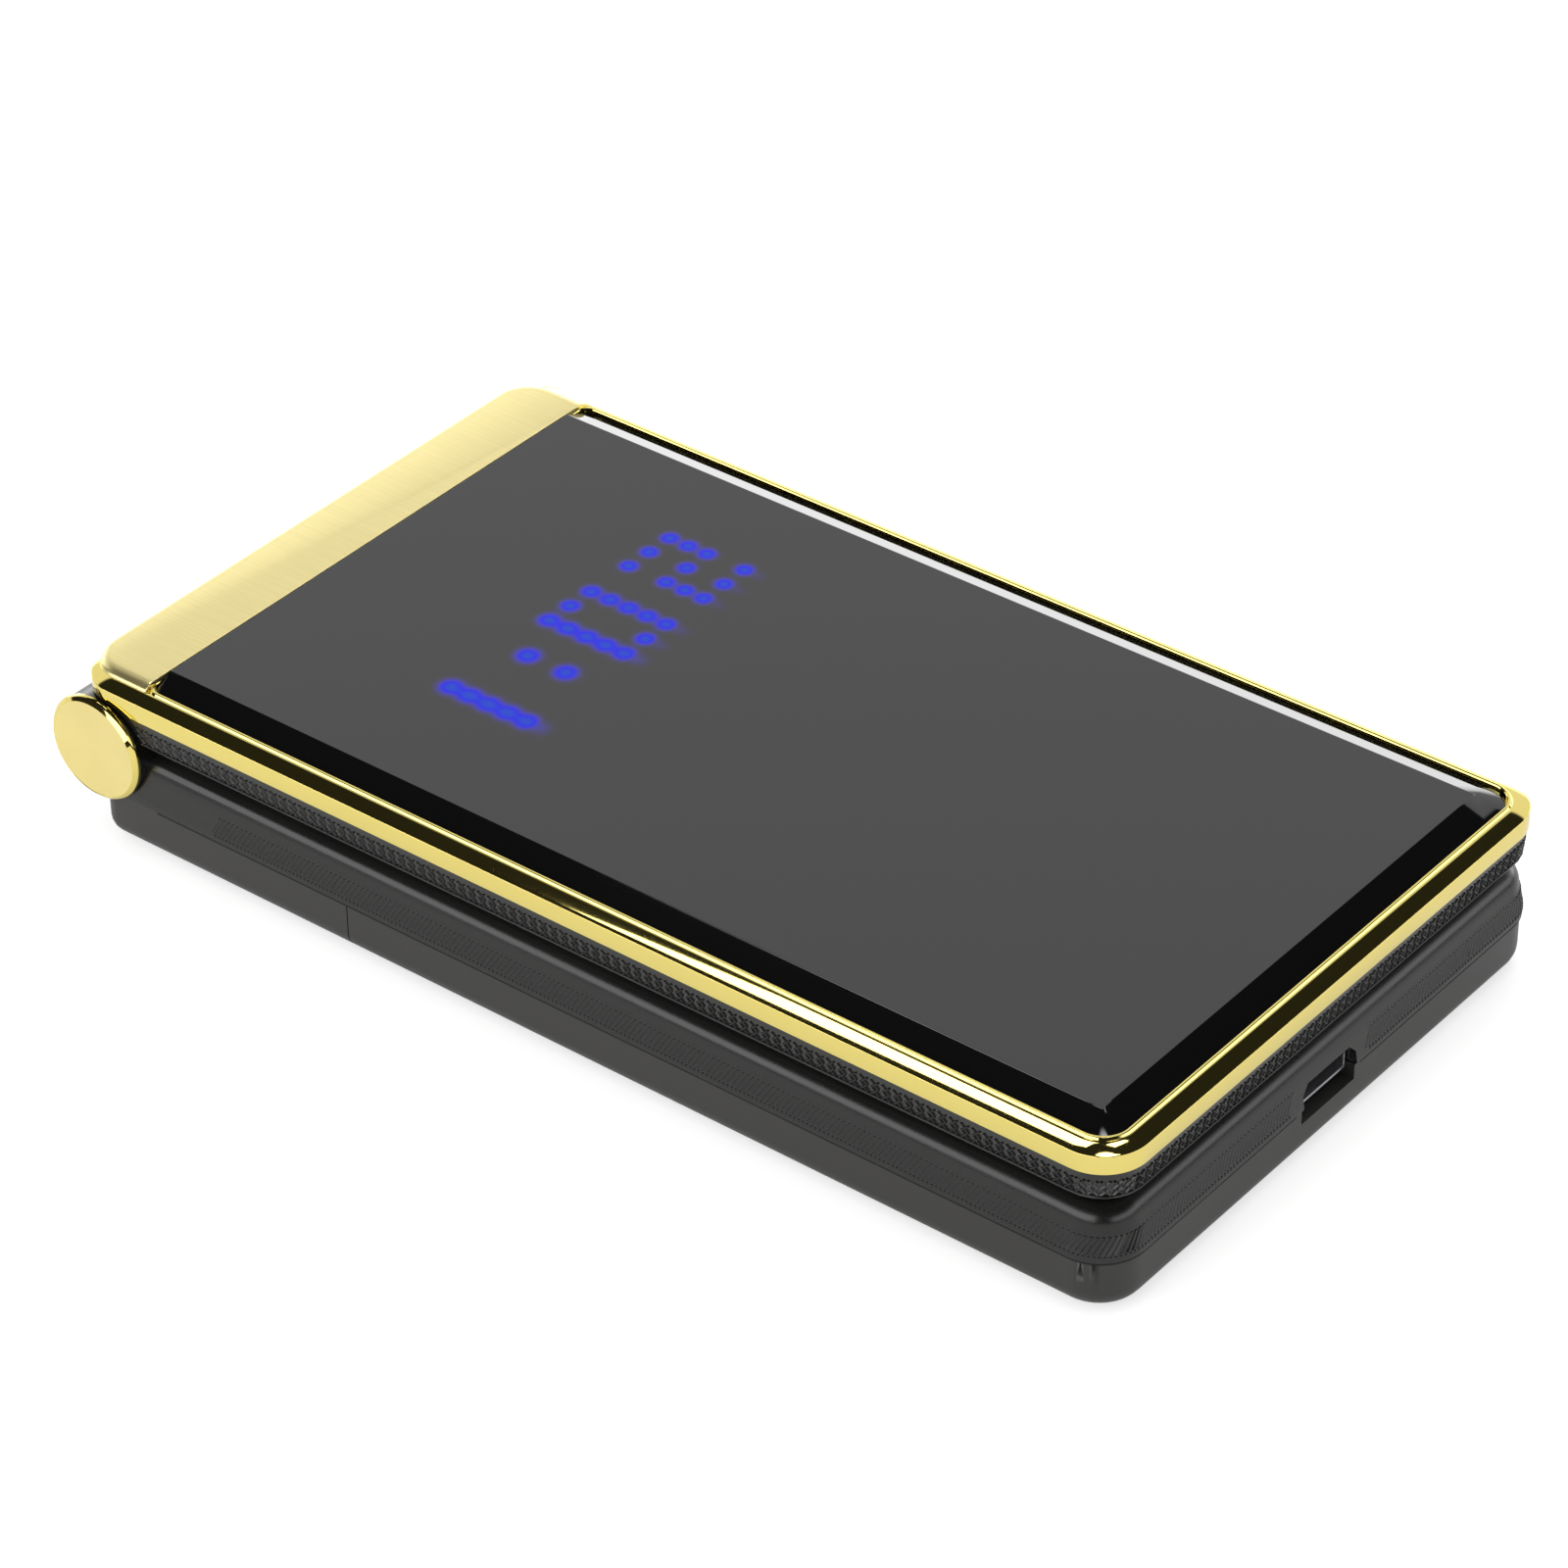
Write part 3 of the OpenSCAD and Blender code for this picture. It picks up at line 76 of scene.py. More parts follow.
# Light the floor gives off as the polished faces show it, and as the camera sees it
FLOOR_GLOW = 0.32
FLOOR_SHOWN = 0.62


def new_node(tree, kind, **values):
    made = tree.nodes.new("ShaderNode" + kind)
    for name, value in values.items():
        setattr(made, name, value)
    return made


def math_node(tree, operation, a, b=None):
    made = new_node(tree, "Math", operation=operation)
    for socket, value in zip(made.inputs, (a, b)):
        if value is None:
            continue
        if isinstance(value, (int, float)):
            socket.default_value = value
        else:
            tree.links.new(value, socket)
    return made.outputs[0]


def mirror_ray(tree):
    """1 for camera, glossy and transmission rays, 0 for the diffuse ones."""
    path = new_node(tree, "LightPath")
    seen = math_node(tree, "MAXIMUM", path.outputs["Is Camera Ray"], path.outputs["Is Glossy Ray"])
    return math_node(tree, "MAXIMUM", seen, path.outputs["Is Transmission Ray"])


def soft_step(tree, value, low, high):
    ramp = new_node(tree, "MapRange", interpolation_type="SMOOTHSTEP")
    tree.links.new(value, ramp.inputs["Value"])
    ramp.inputs["From Min"].default_value = low
    ramp.inputs["From Max"].default_value = high
    return ramp.outputs["Result"]


# Each panel: middle azimuth, half width, lowest and highest elevation, soft edge, all in degrees,
# and its strength
PANELS = [
    (40, 64, -90, 41.5, 1.5, 1.2),
    (35, 55, -90, 18, 5, 4.8),
    (-72, 46, 8, 28, 3, 3.0),
]
# A small strong lamp overhead: half angle and soft edge in degrees
LAMP_DIRECTION = Vector((0.215, 0.10, 0.97)).normalized()
LAMP_HALF_ANGLE = 4.0
LAMP_SOFT = 2.5
LAMP_STRENGTH = 11.0
# Light between the panels, and the even light that matt surfaces get
DARK = 0.025
FILL = 0.75

world = bpy.data.worlds.new("studio")
bpy.context.scene.world = world
world.use_nodes = True
sky = world.node_tree
sky.nodes.clear()
direction = new_node(sky, "TexCoord").outputs["Generated"]
split = new_node(sky, "SeparateXYZ")
sky.links.new(direction, split.inputs[0])
x, y, z = split.outputs
elevation = math_node(sky, "ARCSINE", z)
azimuth = math_node(sky, "ARCTAN2", y, x)
glow = None
for middle, half, low, high, soft, strength in PANELS:
    turned = math_node(sky, "SUBTRACT", azimuth, math.radians(middle))
    wrapped = new_node(sky, "Math", operation="WRAP")
    sky.links.new(turned, wrapped.inputs[0])
    wrapped.inputs[1].default_value = math.pi
    wrapped.inputs[2].default_value = -math.pi
    off = math_node(sky, "ABSOLUTE", wrapped.outputs[0])
    edge = math.radians(soft)
    across = soft_step(sky, off, math.radians(half) + edge, math.radians(half) - edge)
    above = soft_step(sky, elevation, math.radians(low) - edge, math.radians(low) + edge)
    below = soft_step(sky, elevation, math.radians(high) + edge, math.radians(high) - edge)
    panel = math_node(sky, "MULTIPLY", math_node(sky, "MULTIPLY", across, above), below)
    panel = math_node(sky, "MULTIPLY", panel, strength)
    glow = panel if glow is None else math_node(sky, "MAXIMUM", glow, panel)
toward = new_node(sky, "VectorMath", operation="DOT_PRODUCT")
sky.links.new(direction, toward.inputs[0])
toward.inputs[1].default_value = LAMP_DIRECTION
lamp = soft_step(sky, toward.outputs["Value"], math.cos(math.radians(LAMP_HALF_ANGLE + LAMP_SOFT)),
                 math.cos(math.radians(LAMP_HALF_ANGLE - LAMP_SOFT)))
glow = math_node(sky, "MAXIMUM", glow, math_node(sky, "MULTIPLY", lamp, LAMP_STRENGTH))
glow = math_node(sky, "MAXIMUM", glow, DARK)
path = new_node(sky, "LightPath")
shown = math_node(sky, "MAXIMUM", glow, path.outputs["Is Camera Ray"])
level = new_node(sky, "Mix", data_type="FLOAT")
sky.links.new(mirror_ray(sky), level.inputs[0])
level.inputs[2].default_value = FILL
sky.links.new(shown, level.inputs[3])
background = new_node(sky, "Background")
sky.links.new(level.outputs[0], background.inputs["Strength"])
sky.links.new(background.outputs[0], new_node(sky, "OutputWorld").inputs[0])

floor_mesh = bpy.data.meshes.new("floor")
square = ((-1, -1), (1, -1), (1, 1), (-1, 1))
floor_mesh.from_pydata([(sx * FLOOR_HALF, sy * FLOOR_HALF, 0) for sx, sy in square], [], [(0, 1, 2, 3)])
floor = bpy.data.objects.new("floor", floor_mesh)
floor.location.z = FLOOR_Z
bpy.context.scene.collection.objects.link(floor)
paper = bpy.data.materials.new("white_paper")
paper.use_nodes = True
tree = paper.node_tree
tree.nodes.clear()
matt = new_node(tree, "BsdfDiffuse")
matt.inputs["Color"].default_value = (PAPER, PAPER, PAPER, 1)
lit = new_node(tree, "Emission")
lit.inputs["Color"].default_value = (1, 1, 1, 1)
seen = new_node(tree, "LightPath").outputs["Is Camera Ray"]
mirrored = math_node(tree, "MULTIPLY", mirror_ray(tree), FLOOR_GLOW)
level = math_node(tree, "ADD", mirrored, math_node(tree, "MULTIPLY", seen, FLOOR_SHOWN - FLOOR_GLOW))
tree.links.new(level, lit.inputs["Strength"])
both = new_node(tree, "AddShader")
tree.links.new(matt.outputs[0], both.inputs[0])
tree.links.new(lit.outputs[0], both.inputs[1])
tree.links.new(both.outputs[0], new_node(tree, "OutputMaterial").inputs[0])
floor.data.materials.append(paper)

# White cards near the phone, seen only in its polished surfaces: (corners in millimetres, strength)
CARDS = {
    "left_card": ([(-200, -130, 40), (-200, 260, 40), (-200, 260, 150), (-200, -130, 150)], 3.2),
    "top_card": ([(85, 95, 400), (170, 95, 400), (170, 214, 400), (50, 246, 400)], 4.5),
    "corner_card": ([(40, -55, 400), (100, -60, 400), (95, 0, 400), (45, 5, 400)], 6.0),
    "mouth_card": ([(150, 15, 400), (230, 15, 400), (230, 55, 400), (150, 55, 400)], 4.5),
}
for name, (corners, strength) in CARDS.items():
    mesh = bpy.data.meshes.new(name)
    mesh.from_pydata([[c * mm for c in corner] for corner in corners], [], [(0, 1, 2, 3)])
    glow = bpy.data.materials.new(name)
    glow.use_nodes = True
    glow.node_tree.nodes.clear()
    lamp = new_node(glow.node_tree, "Emission")
    lamp.inputs["Strength"].default_value = strength
    glow.node_tree.links.new(lamp.outputs[0], new_node(glow.node_tree, "OutputMaterial").inputs[0])
    mesh.materials.append(glow)
    card = bpy.data.objects.new(name, mesh)
    card.visible_camera = False
    card.visible_diffuse = False
    card.visible_shadow = False
    bpy.context.scene.collection.objects.link(card)

# Two soft lamps aimed at the origin, which only matt surfaces show: (name, place, size, power)
for name, place, size, power in [("lamp_over", (0.15, 0.10, 0.75), 0.5, 1.2),
                                 ("lamp_left", (-0.75, 0.15, 0.35), 0.6, 1.6)]:
    light = bpy.data.objects.new(name, bpy.data.lights.new(name, "AREA"))
    light.data.size = size
    light.data.energy = power
    light.location = place
    light.rotation_euler = (-Vector(place)).to_track_quat("-Z", "Y").to_euler()
    light.visible_glossy = False
    light.visible_camera = False
    bpy.context.scene.collection.objects.link(light)

# ---------------------------------------------------------------- Gold frame
# A die-cast frame, gold plated and polished, that holds the cover glass. Its side is upright,
# its rim is crowned, and a raised lip runs round the glass. It is fixed by the lid's four screws.
FRAME_LOW, FRAME_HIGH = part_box("lid_bezel")
HALF_W = FRAME_HIGH.x / mm
MOUTH_Y = FRAME_LOW.y / mm
END_Y = FRAME_HIGH.y / mm
CROWN_Z = FRAME_HIGH.z / mm
FRAME_Z = CROWN_Z - 2.75
GLASS_LOW, GLASS_HIGH = (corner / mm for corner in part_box("lid_glass"))
CORNER_R = 4.25
RIM_Z = FRAME_Z + 2.1
SEAT_GAP = 0.08
SEAT_W = -GLASS_LOW.x + SEAT_GAP
SEAT_Y0 = GLASS_LOW.y - SEAT_GAP
BAND_Y = GLASS_HIGH.y + SEAT_GAP
SEAT_R0, SEAT_R1 = 2.33, 1.2
SMALLEST_R = 0.6
LEDGE = 1.7
CORNER_STEPS = 24
SIDE_STEPS = 40
WELD = 1e-7


def outline(half_w, y0, y1, r0, r1, sides=SIDE_STEPS):
    """Points round a rectangle with rounded corners, r0 at its y0 end and r1 at its y1 end, always
    in the same number and order: anticlockwise from the near corner of the y0 end."""
    corners = [(-half_w + r0, y0 + r0, r0, 180), (half_w - r0, y0 + r0, r0, 270),
               (half_w - r1, y1 - r1, r1, 0), (-half_w + r1, y1 - r1, r1, 90)]
    points = []
    for cx, cy, r, start in corners:
        for i in range(CORNER_STEPS + 1):
            a = math.radians(start + 90 * i / CORNER_STEPS)
            points.append((cx + r * math.cos(a), cy + r * math.sin(a)))
    full = []
    for i, p in enumerate(points):
        full.append(p)
        if i % (CORNER_STEPS + 1) == CORNER_STEPS:
            q = points[(i + 1) % len(points)]
            full += [(p[0] + (q[0] - p[0]) * k / sides, p[1] + (q[1] - p[1]) * k / sides)
                     for k in range(1, sides)]
    return full


def add_loop(bm, points, z):
    return [bm.verts.new((px * mm, py * mm, z * mm)) for px, py in points]


def bridge(bm, low, high, closed=True):
    count = len(low) if closed else len(low) - 1
    for i in range(count):
        j = (i + 1) % len(low)
        bm.faces.new((low[i], low[j], high[j], high[i]))


def finish_mesh(bm, name, material, sharp):
    """Makes the object, with its edges sharp where faces meet at more than that angle."""
    bmesh.ops.remove_doubles(bm, verts=bm.verts, dist=WELD)
    bmesh.ops.dissolve_degenerate(bm, edges=bm.edges, dist=WELD)
    bmesh.ops.recalc_face_normals(bm, faces=bm.faces)
    for face in bm.faces:
        face.smooth = True
    for edge in bm.edges:
        edge.smooth = edge.calc_face_angle(0) < math.radians(sharp)
    mesh = bpy.data.meshes.new(name)
    bm.to_mesh(mesh)
    bm.free()
    mesh.materials.append(material)
    piece = bpy.data.objects.new(name, mesh)
    bpy.context.scene.collection.objects.link(piece)
    return piece


def finish_of(name, colour, roughness, metallic=0.0, grain=0.0, grain_size=0.3, uneven=0.0, ior=1.5):
    """A finish whose colour drifts a little and whose gloss varies, with a fine grain in its bump."""
    material = bpy.data.materials.new(name)
    material.use_nodes = True
    tree = material.node_tree
    shader = tree.nodes["Principled BSDF"]
    shader.inputs["Metallic"].default_value = metallic
    shader.inputs["IOR"].default_value = ior
    place = new_node(tree, "TexCoord").outputs["Object"]
    cloud = new_node(tree, "TexNoise")
    tree.links.new(place, cloud.inputs["Vector"])
    cloud.inputs["Scale"].default_value = 90.0
    cloud.inputs["Detail"].default_value = 4.0
    tint = new_node(tree, "Mix", data_type="RGBA")
    tree.links.new(cloud.outputs["Fac"], tint.inputs[0])
    tint.inputs[6].default_value = [c * (1 - uneven) for c in colour] + [1]
    tint.inputs[7].default_value = [min(c * (1 + uneven), 1) for c in colour] + [1]
    tree.links.new(tint.outputs[2], shader.inputs["Base Color"])
    gloss = new_node(tree, "MapRange")
    tree.links.new(cloud.outputs["Fac"], gloss.inputs["Value"])
    gloss.inputs["To Min"].default_value = roughness * 0.85
    gloss.inputs["To Max"].default_value = roughness * 1.15
    tree.links.new(gloss.outputs["Result"], shader.inputs["Roughness"])
    if grain:
        speck = new_node(tree, "TexNoise")
        tree.links.new(place, speck.inputs["Vector"])
        speck.inputs["Scale"].default_value = 1 / (grain_size * mm)
        speck.inputs["Detail"].default_value = 3.0
        bump = new_node(tree, "Bump")
        bump.inputs["Strength"].default_value = grain
        bump.inputs["Distance"].default_value = 0.02 * mm
        tree.links.new(speck.outputs["Fac"], bump.inputs["Height"])
        tree.links.new(bump.outputs["Normal"], shader.inputs["Normal"])
    return material


GOLD = (0.84, 0.70, 0.21)
polished_gold = finish_of("polished_gold", GOLD, 0.045, metallic=1.0, uneven=0.01)

# Outside of the frame, from its lower edge over the rim: (inset, height). A small rounded edge
# leads onto the crown, which grows flatter towards the glass.
SIDE_TOP = RIM_Z - 0.36
EDGE_R = 0.07
CROWN_STEP = 0.147
RIM_PROFILE = [(0.10, FRAME_Z), (0.02, FRAME_Z + 0.05), (0.0, FRAME_Z + 0.12), (0.0, SIDE_TOP)]
for turn in range(12, 73, 12):
    a = math.radians(turn)
    RIM_PROFILE.append((EDGE_R * (1 - math.cos(a)), SIDE_TOP + EDGE_R * math.sin(a)))
for slope in range(72, 81):
    inset, height = RIM_PROFILE[-1]
    RIM_PROFILE.append((inset + CROWN_STEP, height + CROWN_STEP / math.tan(math.radians(slope))))
# Lip round the glass: (distance outside the seat, height above the rim)
RIM_END = RIM_PROFILE[-1][1]
LIP = [(0.46, 0.0), (0.43, 0.02), (0.42, 0.033), (0.31, 0.177), (0.30, 0.19), (0.26, 0.21),
       (0.20, 0.215), (0.06, 0.19), (0.0, 0.1), (0.0, -0.1)]
SEAT_PROFILE = [(out, RIM_END + rise) for out, rise in LIP]
SEAT_PROFILE += [(0.0, GLASS_LOW.z), (-LEDGE, GLASS_LOW.z), (-LEDGE, FRAME_Z)]


def seat_outline(out):
    return outline(SEAT_W + out, SEAT_Y0 - out, BAND_Y + out, max(SEAT_R0 + out, SMALLEST_R),
                   max(SEAT_R1 + out, SMALLEST_R))


bm = bmesh.new()
rings = [add_loop(bm, outline(HALF_W - i, MOUTH_Y + i, END_Y - i, CORNER_R - i, CORNER_R - i), height)
         for i, height in RIM_PROFILE]
rings += [add_loop(bm, seat_outline(out), height) for out, height in SEAT_PROFILE]
for low, high in zip(rings, rings[1:] + rings[:1]):
    bridge(bm, low, high)
# The hollow over the hinge knuckles leaves only a thin web at the hinge end
HOLLOW_R = 5.05
HINGE = next(j for j in frame["joints"] if j["name"] == "lid_hinge")
HINGE_Y, HINGE_Z = HINGE["pos_m"][1] / mm, HINGE["pos_m"][2] / mm
for vert in bm.verts:
    dy, dz = vert.co.y / mm - HINGE_Y, vert.co.z / mm - HINGE_Z
    if dz > 0 and math.hypot(dy, dz) < HOLLOW_R:
        vert.co.z = (HINGE_Z + math.sqrt(max(HOLLOW_R ** 2 - dy ** 2, 0))) * mm
gold_frame = finish_mesh(bm, "gold_frame", polished_gold, 32.0)
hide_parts("lid_bezel")
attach(gold_frame, "lid")

# ---------------------------------------------------------------- Hinge band
# The broad gold plate over the hinge, brushed along the phone's length and rounded down at its
# two ends. It is pressed onto the frame.
BAND_HALF_W = HALF_W - 1.42
BAND_Y1 = END_Y - 0.1
BAND_FRONT = BAND_Y + 0.03
BAND_R, BAND_FRONT_R = 3.6, 0.2
BAND_SIDES = 60
BAND_TOP = CROWN_Z - 0.02
BAND_FOOT = RIM_Z - 0.05
BAND_UNDER = RIM_Z - 0.4
# How far the top is drawn in from the foot: at the two ends, at the hinge edge and at the glass
BAND_DRAW = (1.25, 0.45, 0.05)


def brushed(name, colour, roughness, along):
    """Metal brushed along one axis: fine streaks in its colour, gloss and bump."""
    material = finish_of(name, colour, roughness, metallic=1.0)
    tree = material.node_tree
    shader = tree.nodes["Principled BSDF"]
    place = new_node(tree, "TexCoord").outputs["Object"]
    stretch = new_node(tree, "Mapping")
    tree.links.new(place, stretch.inputs["Vector"])
    stretch.inputs["Scale"].default_value = [60 if i == along else 5200 for i in range(3)]
    streak = new_node(tree, "TexNoise")
    tree.links.new(stretch.outputs["Vector"], streak.inputs["Vector"])
    streak.inputs["Scale"].default_value = 1.0
    streak.inputs["Detail"].default_value = 5.0
    streak.inputs["Roughness"].default_value = 0.65
    tone = new_node(tree, "Mix", data_type="RGBA")
    tree.links.new(streak.outputs["Fac"], tone.inputs[0])
    tone.inputs[6].default_value = [c * 0.80 for c in colour] + [1]
    tone.inputs[7].default_value = [min(c * 1.10, 1) for c in colour] + [1]
    tree.links.new(tone.outputs[2], shader.inputs["Base Color"])
    gloss = new_node(tree, "MapRange")
    tree.links.new(streak.outputs["Fac"], gloss.inputs["Value"])
    gloss.inputs["To Min"].default_value = roughness * 0.8
    gloss.inputs["To Max"].default_value = roughness * 1.3
    tree.links.new(gloss.outputs["Result"], shader.inputs["Roughness"])
    bump = new_node(tree, "Bump")
    bump.inputs["Strength"].default_value = 0.35
    bump.inputs["Distance"].default_value = 0.004 * mm
    tree.links.new(streak.outputs["Fac"], bump.inputs["Height"])
    tree.links.new(bump.outputs["Normal"], shader.inputs["Normal"])
    return material


brushed_gold = brushed("brushed_gold", (0.92, 0.79, 0.36), 0.31, along=1)
bm = bmesh.new()
rings = [add_loop(bm, outline(BAND_HALF_W, BAND_FRONT, BAND_Y1, BAND_FRONT_R, BAND_R, sides=BAND_SIDES),
                  BAND_UNDER)]
for angle in range(0, 91, 9):
    draw = 1 - math.cos(math.radians(angle))
    side, end, front = (d * draw for d in BAND_DRAW)
    height = BAND_FOOT + (BAND_TOP - BAND_FOOT) * math.sin(math.radians(angle))
    edge = outline(BAND_HALF_W - side, BAND_FRONT + front, BAND_Y1 - end, BAND_FRONT_R,
                   BAND_R - (side + end) / 2, sides=BAND_SIDES)
    rings.append(add_loop(bm, edge, height))
for low, high in zip(rings, rings[1:]):
    bridge(bm, low, high)
bm.faces.new(rings[-1])
bm.faces.new(rings[0][::-1])
hinge_band = finish_mesh(bm, "hinge_band", brushed_gold, 32.0)
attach(hinge_band, "lid")

# ---------------------------------------------------------------- Cover glass and lamp clock
# Black glass bonded onto the frame's ledge, flat in the middle and ground to a bevel along three
# sides. The lamps of a clock lie under it and show through as soft blue dots that read 1:02.
FLAT_X = 25.74
FLAT_Y0 = -49.5
FLAT_Y1 = BAND_Y - SEAT_GAP
GLASS_X = GLASS_HIGH.x
BEVEL_Z = GLASS_LOW.z + 0.45
# Corner radii and their steps: at the mouth end, and at the band
GLASS_R, MOUTH_STEPS = 2.33, 16
FAR_R, FAR_STEPS = 1.1, 8
GROUND_EDGE, GROUND_STEPS, GROUND_ANGLE = 0.4, 5, 14
CLOCK_Y = END_Y - 31.8
CLOCK_X = -1.2
LAMP_PITCH = (2.78, 2.07)
# Lamps lit in each digit: (column, row) from the digit's middle
ONE = [(1, row) for row in range(-2, 3)]
NOUGHT = [(column, row) for column in (-1, 0, 1) for row in range(-2, 3) if column or abs(row) == 2]
TWO = [(column, row) for column in (-1, 0, 1) for row in (-2, 0, 2)] + [(1, 1), (-1, -1)]
# The lamps nearest the left shine strongest, and so do the left ones of the nought. Digits and the
# colon: (middle, lamps, reach of the glow)
STRONGER = 0.1
DIGITS = [(CLOCK_X - 14.8, ONE, 1.08), (CLOCK_X + 3.42, NOUGHT, 0.9), (CLOCK_X + 14.0, TWO, 0.84),
          (CLOCK_X - 4.55, [(0, -1), (0, 1)], 1.08)]
LIT = [(x + column * LAMP_PITCH[0], CLOCK_Y + row * LAMP_PITCH[1],
        reach + STRONGER * (column < 0 and lamps is NOUGHT))
       for x, lamps, reach in DIGITS for column, row in lamps]
# The glass is meshed finely round the clock and coarsely elsewhere
FINE_X, FINE_Y = (-16.5, 17.5), (17.0, 30.0)
FINE_GRID, COARSE_GRID = 0.2, 2.0


def spaced(start, end, fine_start, fine_end):
    """Places from start to end: fine steps in the middle stretch, coarse ones outside it."""
    stretches = [(start, fine_start, COARSE_GRID), (fine_start, fine_end, FINE_GRID),
                 (fine_end, end, COARSE_GRID)]
    places = [start]
    for a, b, step in stretches:
        count = max(round((b - a) / step), 1)
        places += [a + (b - a) * i / count for i in range(1, count + 1)]
    return places


bm = bmesh.new()
xs = spaced(-FLAT_X, FLAT_X, *FINE_X)
ys = spaced(FLAT_Y0, FLAT_Y1, *FINE_Y)
grid = [[bm.verts.new((gx * mm, gy * mm, CROWN_Z * mm)) for gx in xs] for gy in ys]
for row, above in zip(grid, grid[1:]):
    for i in range(len(xs) - 1):
        bm.faces.new((row[i], row[i + 1], above[i + 1], above[i]))


def partner(corner, turn, radius):
    """The place on a rounded corner of the bevel's foot, at that turn in degrees."""
    sx, sy = corner
    cy = GLASS_LOW.y + radius if sy < 0 else FLAT_Y1 - radius
    a = math.radians(turn)
    return (sx * (GLASS_X - radius) + radius * math.cos(a), cy + radius * math.sin(a))


# Walk round the flat, each point with its partner on the bevel's foot
SIDE_Y = GLASS_LOW.y + GLASS_R
walk = [(grid[0][i], (xs[i], GLASS_LOW.y)) for i in range(len(xs)) if abs(xs[i]) < GLASS_X - GLASS_R]
walk += [(grid[0][-1], partner((1, -1), 270 + 90 * i / MOUTH_STEPS, GLASS_R))
         for i in range(MOUTH_STEPS + 1)]
walk += [(row[-1], (GLASS_X, ys[i])) for i, row in enumerate(grid) if ys[i] > SIDE_Y]
walk[-1] = (grid[-1][-1], (GLASS_X, FLAT_Y1 - FAR_R))
walk += [(grid[-1][-1], partner((1, 1), 90 * i / FAR_STEPS, FAR_R)) for i in range(1, FAR_STEPS + 1)]
walk += [(grid[-1][i], (xs[i], FLAT_Y1)) for i in range(len(xs) - 1, -1, -1)]
walk += [(grid[-1][0], partner((-1, 1), 90 + 90 * i / FAR_STEPS, FAR_R)) for i in range(FAR_STEPS + 1)]
walk += [(grid[i][0], (-GLASS_X, ys[i])) for i in range(len(ys) - 2, -1, -1) if ys[i] > SIDE_Y]
walk += [(grid[0][0], partner((-1, -1), 180 + 90 * i / MOUTH_STEPS, GLASS_R))
         for i in range(MOUTH_STEPS + 1)]
foot = []
for _, (px, py) in walk:
    at_band = abs(py - FLAT_Y1) < 1e-6 and abs(px) <= FLAT_X
    foot.append(bm.verts.new((px * mm, py * mm, (CROWN_Z if at_band else BEVEL_Z) * mm)))
base = [bm.verts.new((px * mm, py * mm, GLASS_LOW.z * mm)) for _, (px, py) in walk]
for i in range(len(walk)):
    j = (i + 1) % len(walk)
    ring = [walk[i][0], walk[j][0], foot[j], foot[i]]
    ring = [v for k, v in enumerate(ring) if v not in ring[:k]]
    if len(ring) > 2 and (ring[0].co - ring[-1].co).length > 1e-9:
        bm.faces.new(ring[::-1])
bridge(bm, base, foot)
bm.faces.new(base[::-1])

cover = bpy.data.materials.new("black_glass")
cover.use_nodes = True
tree = cover.node_tree
shader = tree.nodes["Principled BSDF"]
shader.inputs["IOR"].default_value = 1.6
place = new_node(tree, "TexCoord").outputs["Object"]
smear = new_node(tree, "TexNoise")
tree.links.new(place, smear.inputs["Vector"])
smear.inputs["Scale"].default_value = 35.0
smear.inputs["Detail"].default_value = 3.0
gloss = new_node(tree, "MapRange")
tree.links.new(smear.outputs["Fac"], gloss.inputs["Value"])
gloss.inputs["To Min"].default_value = 0.02
gloss.inputs["To Max"].default_value = 0.05
tree.links.new(gloss.outputs["Result"], shader.inputs["Roughness"])
shader.inputs["Base Color"].default_value = (0.004, 0.004, 0.004, 1)
haze = new_node(tree, "Attribute", attribute_name="lamp_glow").outputs["Fac"]
glow_colour = new_node(tree, "ValToRGB")
tree.links.new(haze, glow_colour.inputs["Fac"])
ramp = glow_colour.color_ramp
ramp.elements[0].position = 0.0
ramp.elements[0].color = (0.0, 0.0, 0.0, 1)
ramp.elements[1].position = 1.0
ramp.elements[1].color = (0.0, 0.045, 0.56, 1)
for position, colour in [(0.06, (0.002, 0.0, 0.015, 1)), (0.22, (0.006, 0.0, 0.13, 1)),
                         (0.45, (0.007, 0.0, 0.45, 1)), (0.7, (0.0, 0.0, 0.74, 1)),
                         (0.88, (0.0, 0.03, 0.62, 1))]:
    ramp.elements.new(position).color = colour
clearness = new_node(tree, "MapRange")
tree.links.new(haze, clearness.inputs["Value"])
clearness.inputs["From Min"].default_value = 0.25
clearness.inputs["From Max"].default_value = 0.75
clearness.inputs["To Min"].default_value = 0.5
clearness.inputs["To Max"].default_value = 0.18
tree.links.new(clearness.outputs["Result"], shader.inputs["Specular IOR Level"])
tree.links.new(glow_colour.outputs["Color"], shader.inputs["Emission Color"])
shader.inputs["Emission Strength"].default_value = 1.0
cover_glass = finish_mesh(bm, "cover_glass", cover, 12.0)
ground_edge = cover_glass.modifiers.new("ground_edge", "BEVEL")
ground_edge.width = GROUND_EDGE * mm
ground_edge.segments = GROUND_STEPS
ground_edge.limit_method = "ANGLE"
ground_edge.angle_limit = math.radians(GROUND_ANGLE)
ground_edge.harden_normals = True
glow_value = cover_glass.data.attributes.new("lamp_glow", "FLOAT", "POINT")


def lamp_haze(point):
    """How much of the lamps' light shows at a point of the glass: 1 at a lamp, falling to 0."""
    px, py = point.x / mm, point.y / mm
    if point.z < (CROWN_Z - 0.01) * mm:
        return 0.0
    total = 0.0
    for lamp_x, lamp_y, reach in LIT:
        gap = math.hypot(px - lamp_x, py - lamp_y)
        if gap < 3 * reach:
            total += math.exp(-(gap / reach) ** 2.4)
    return min(total, 1.0)


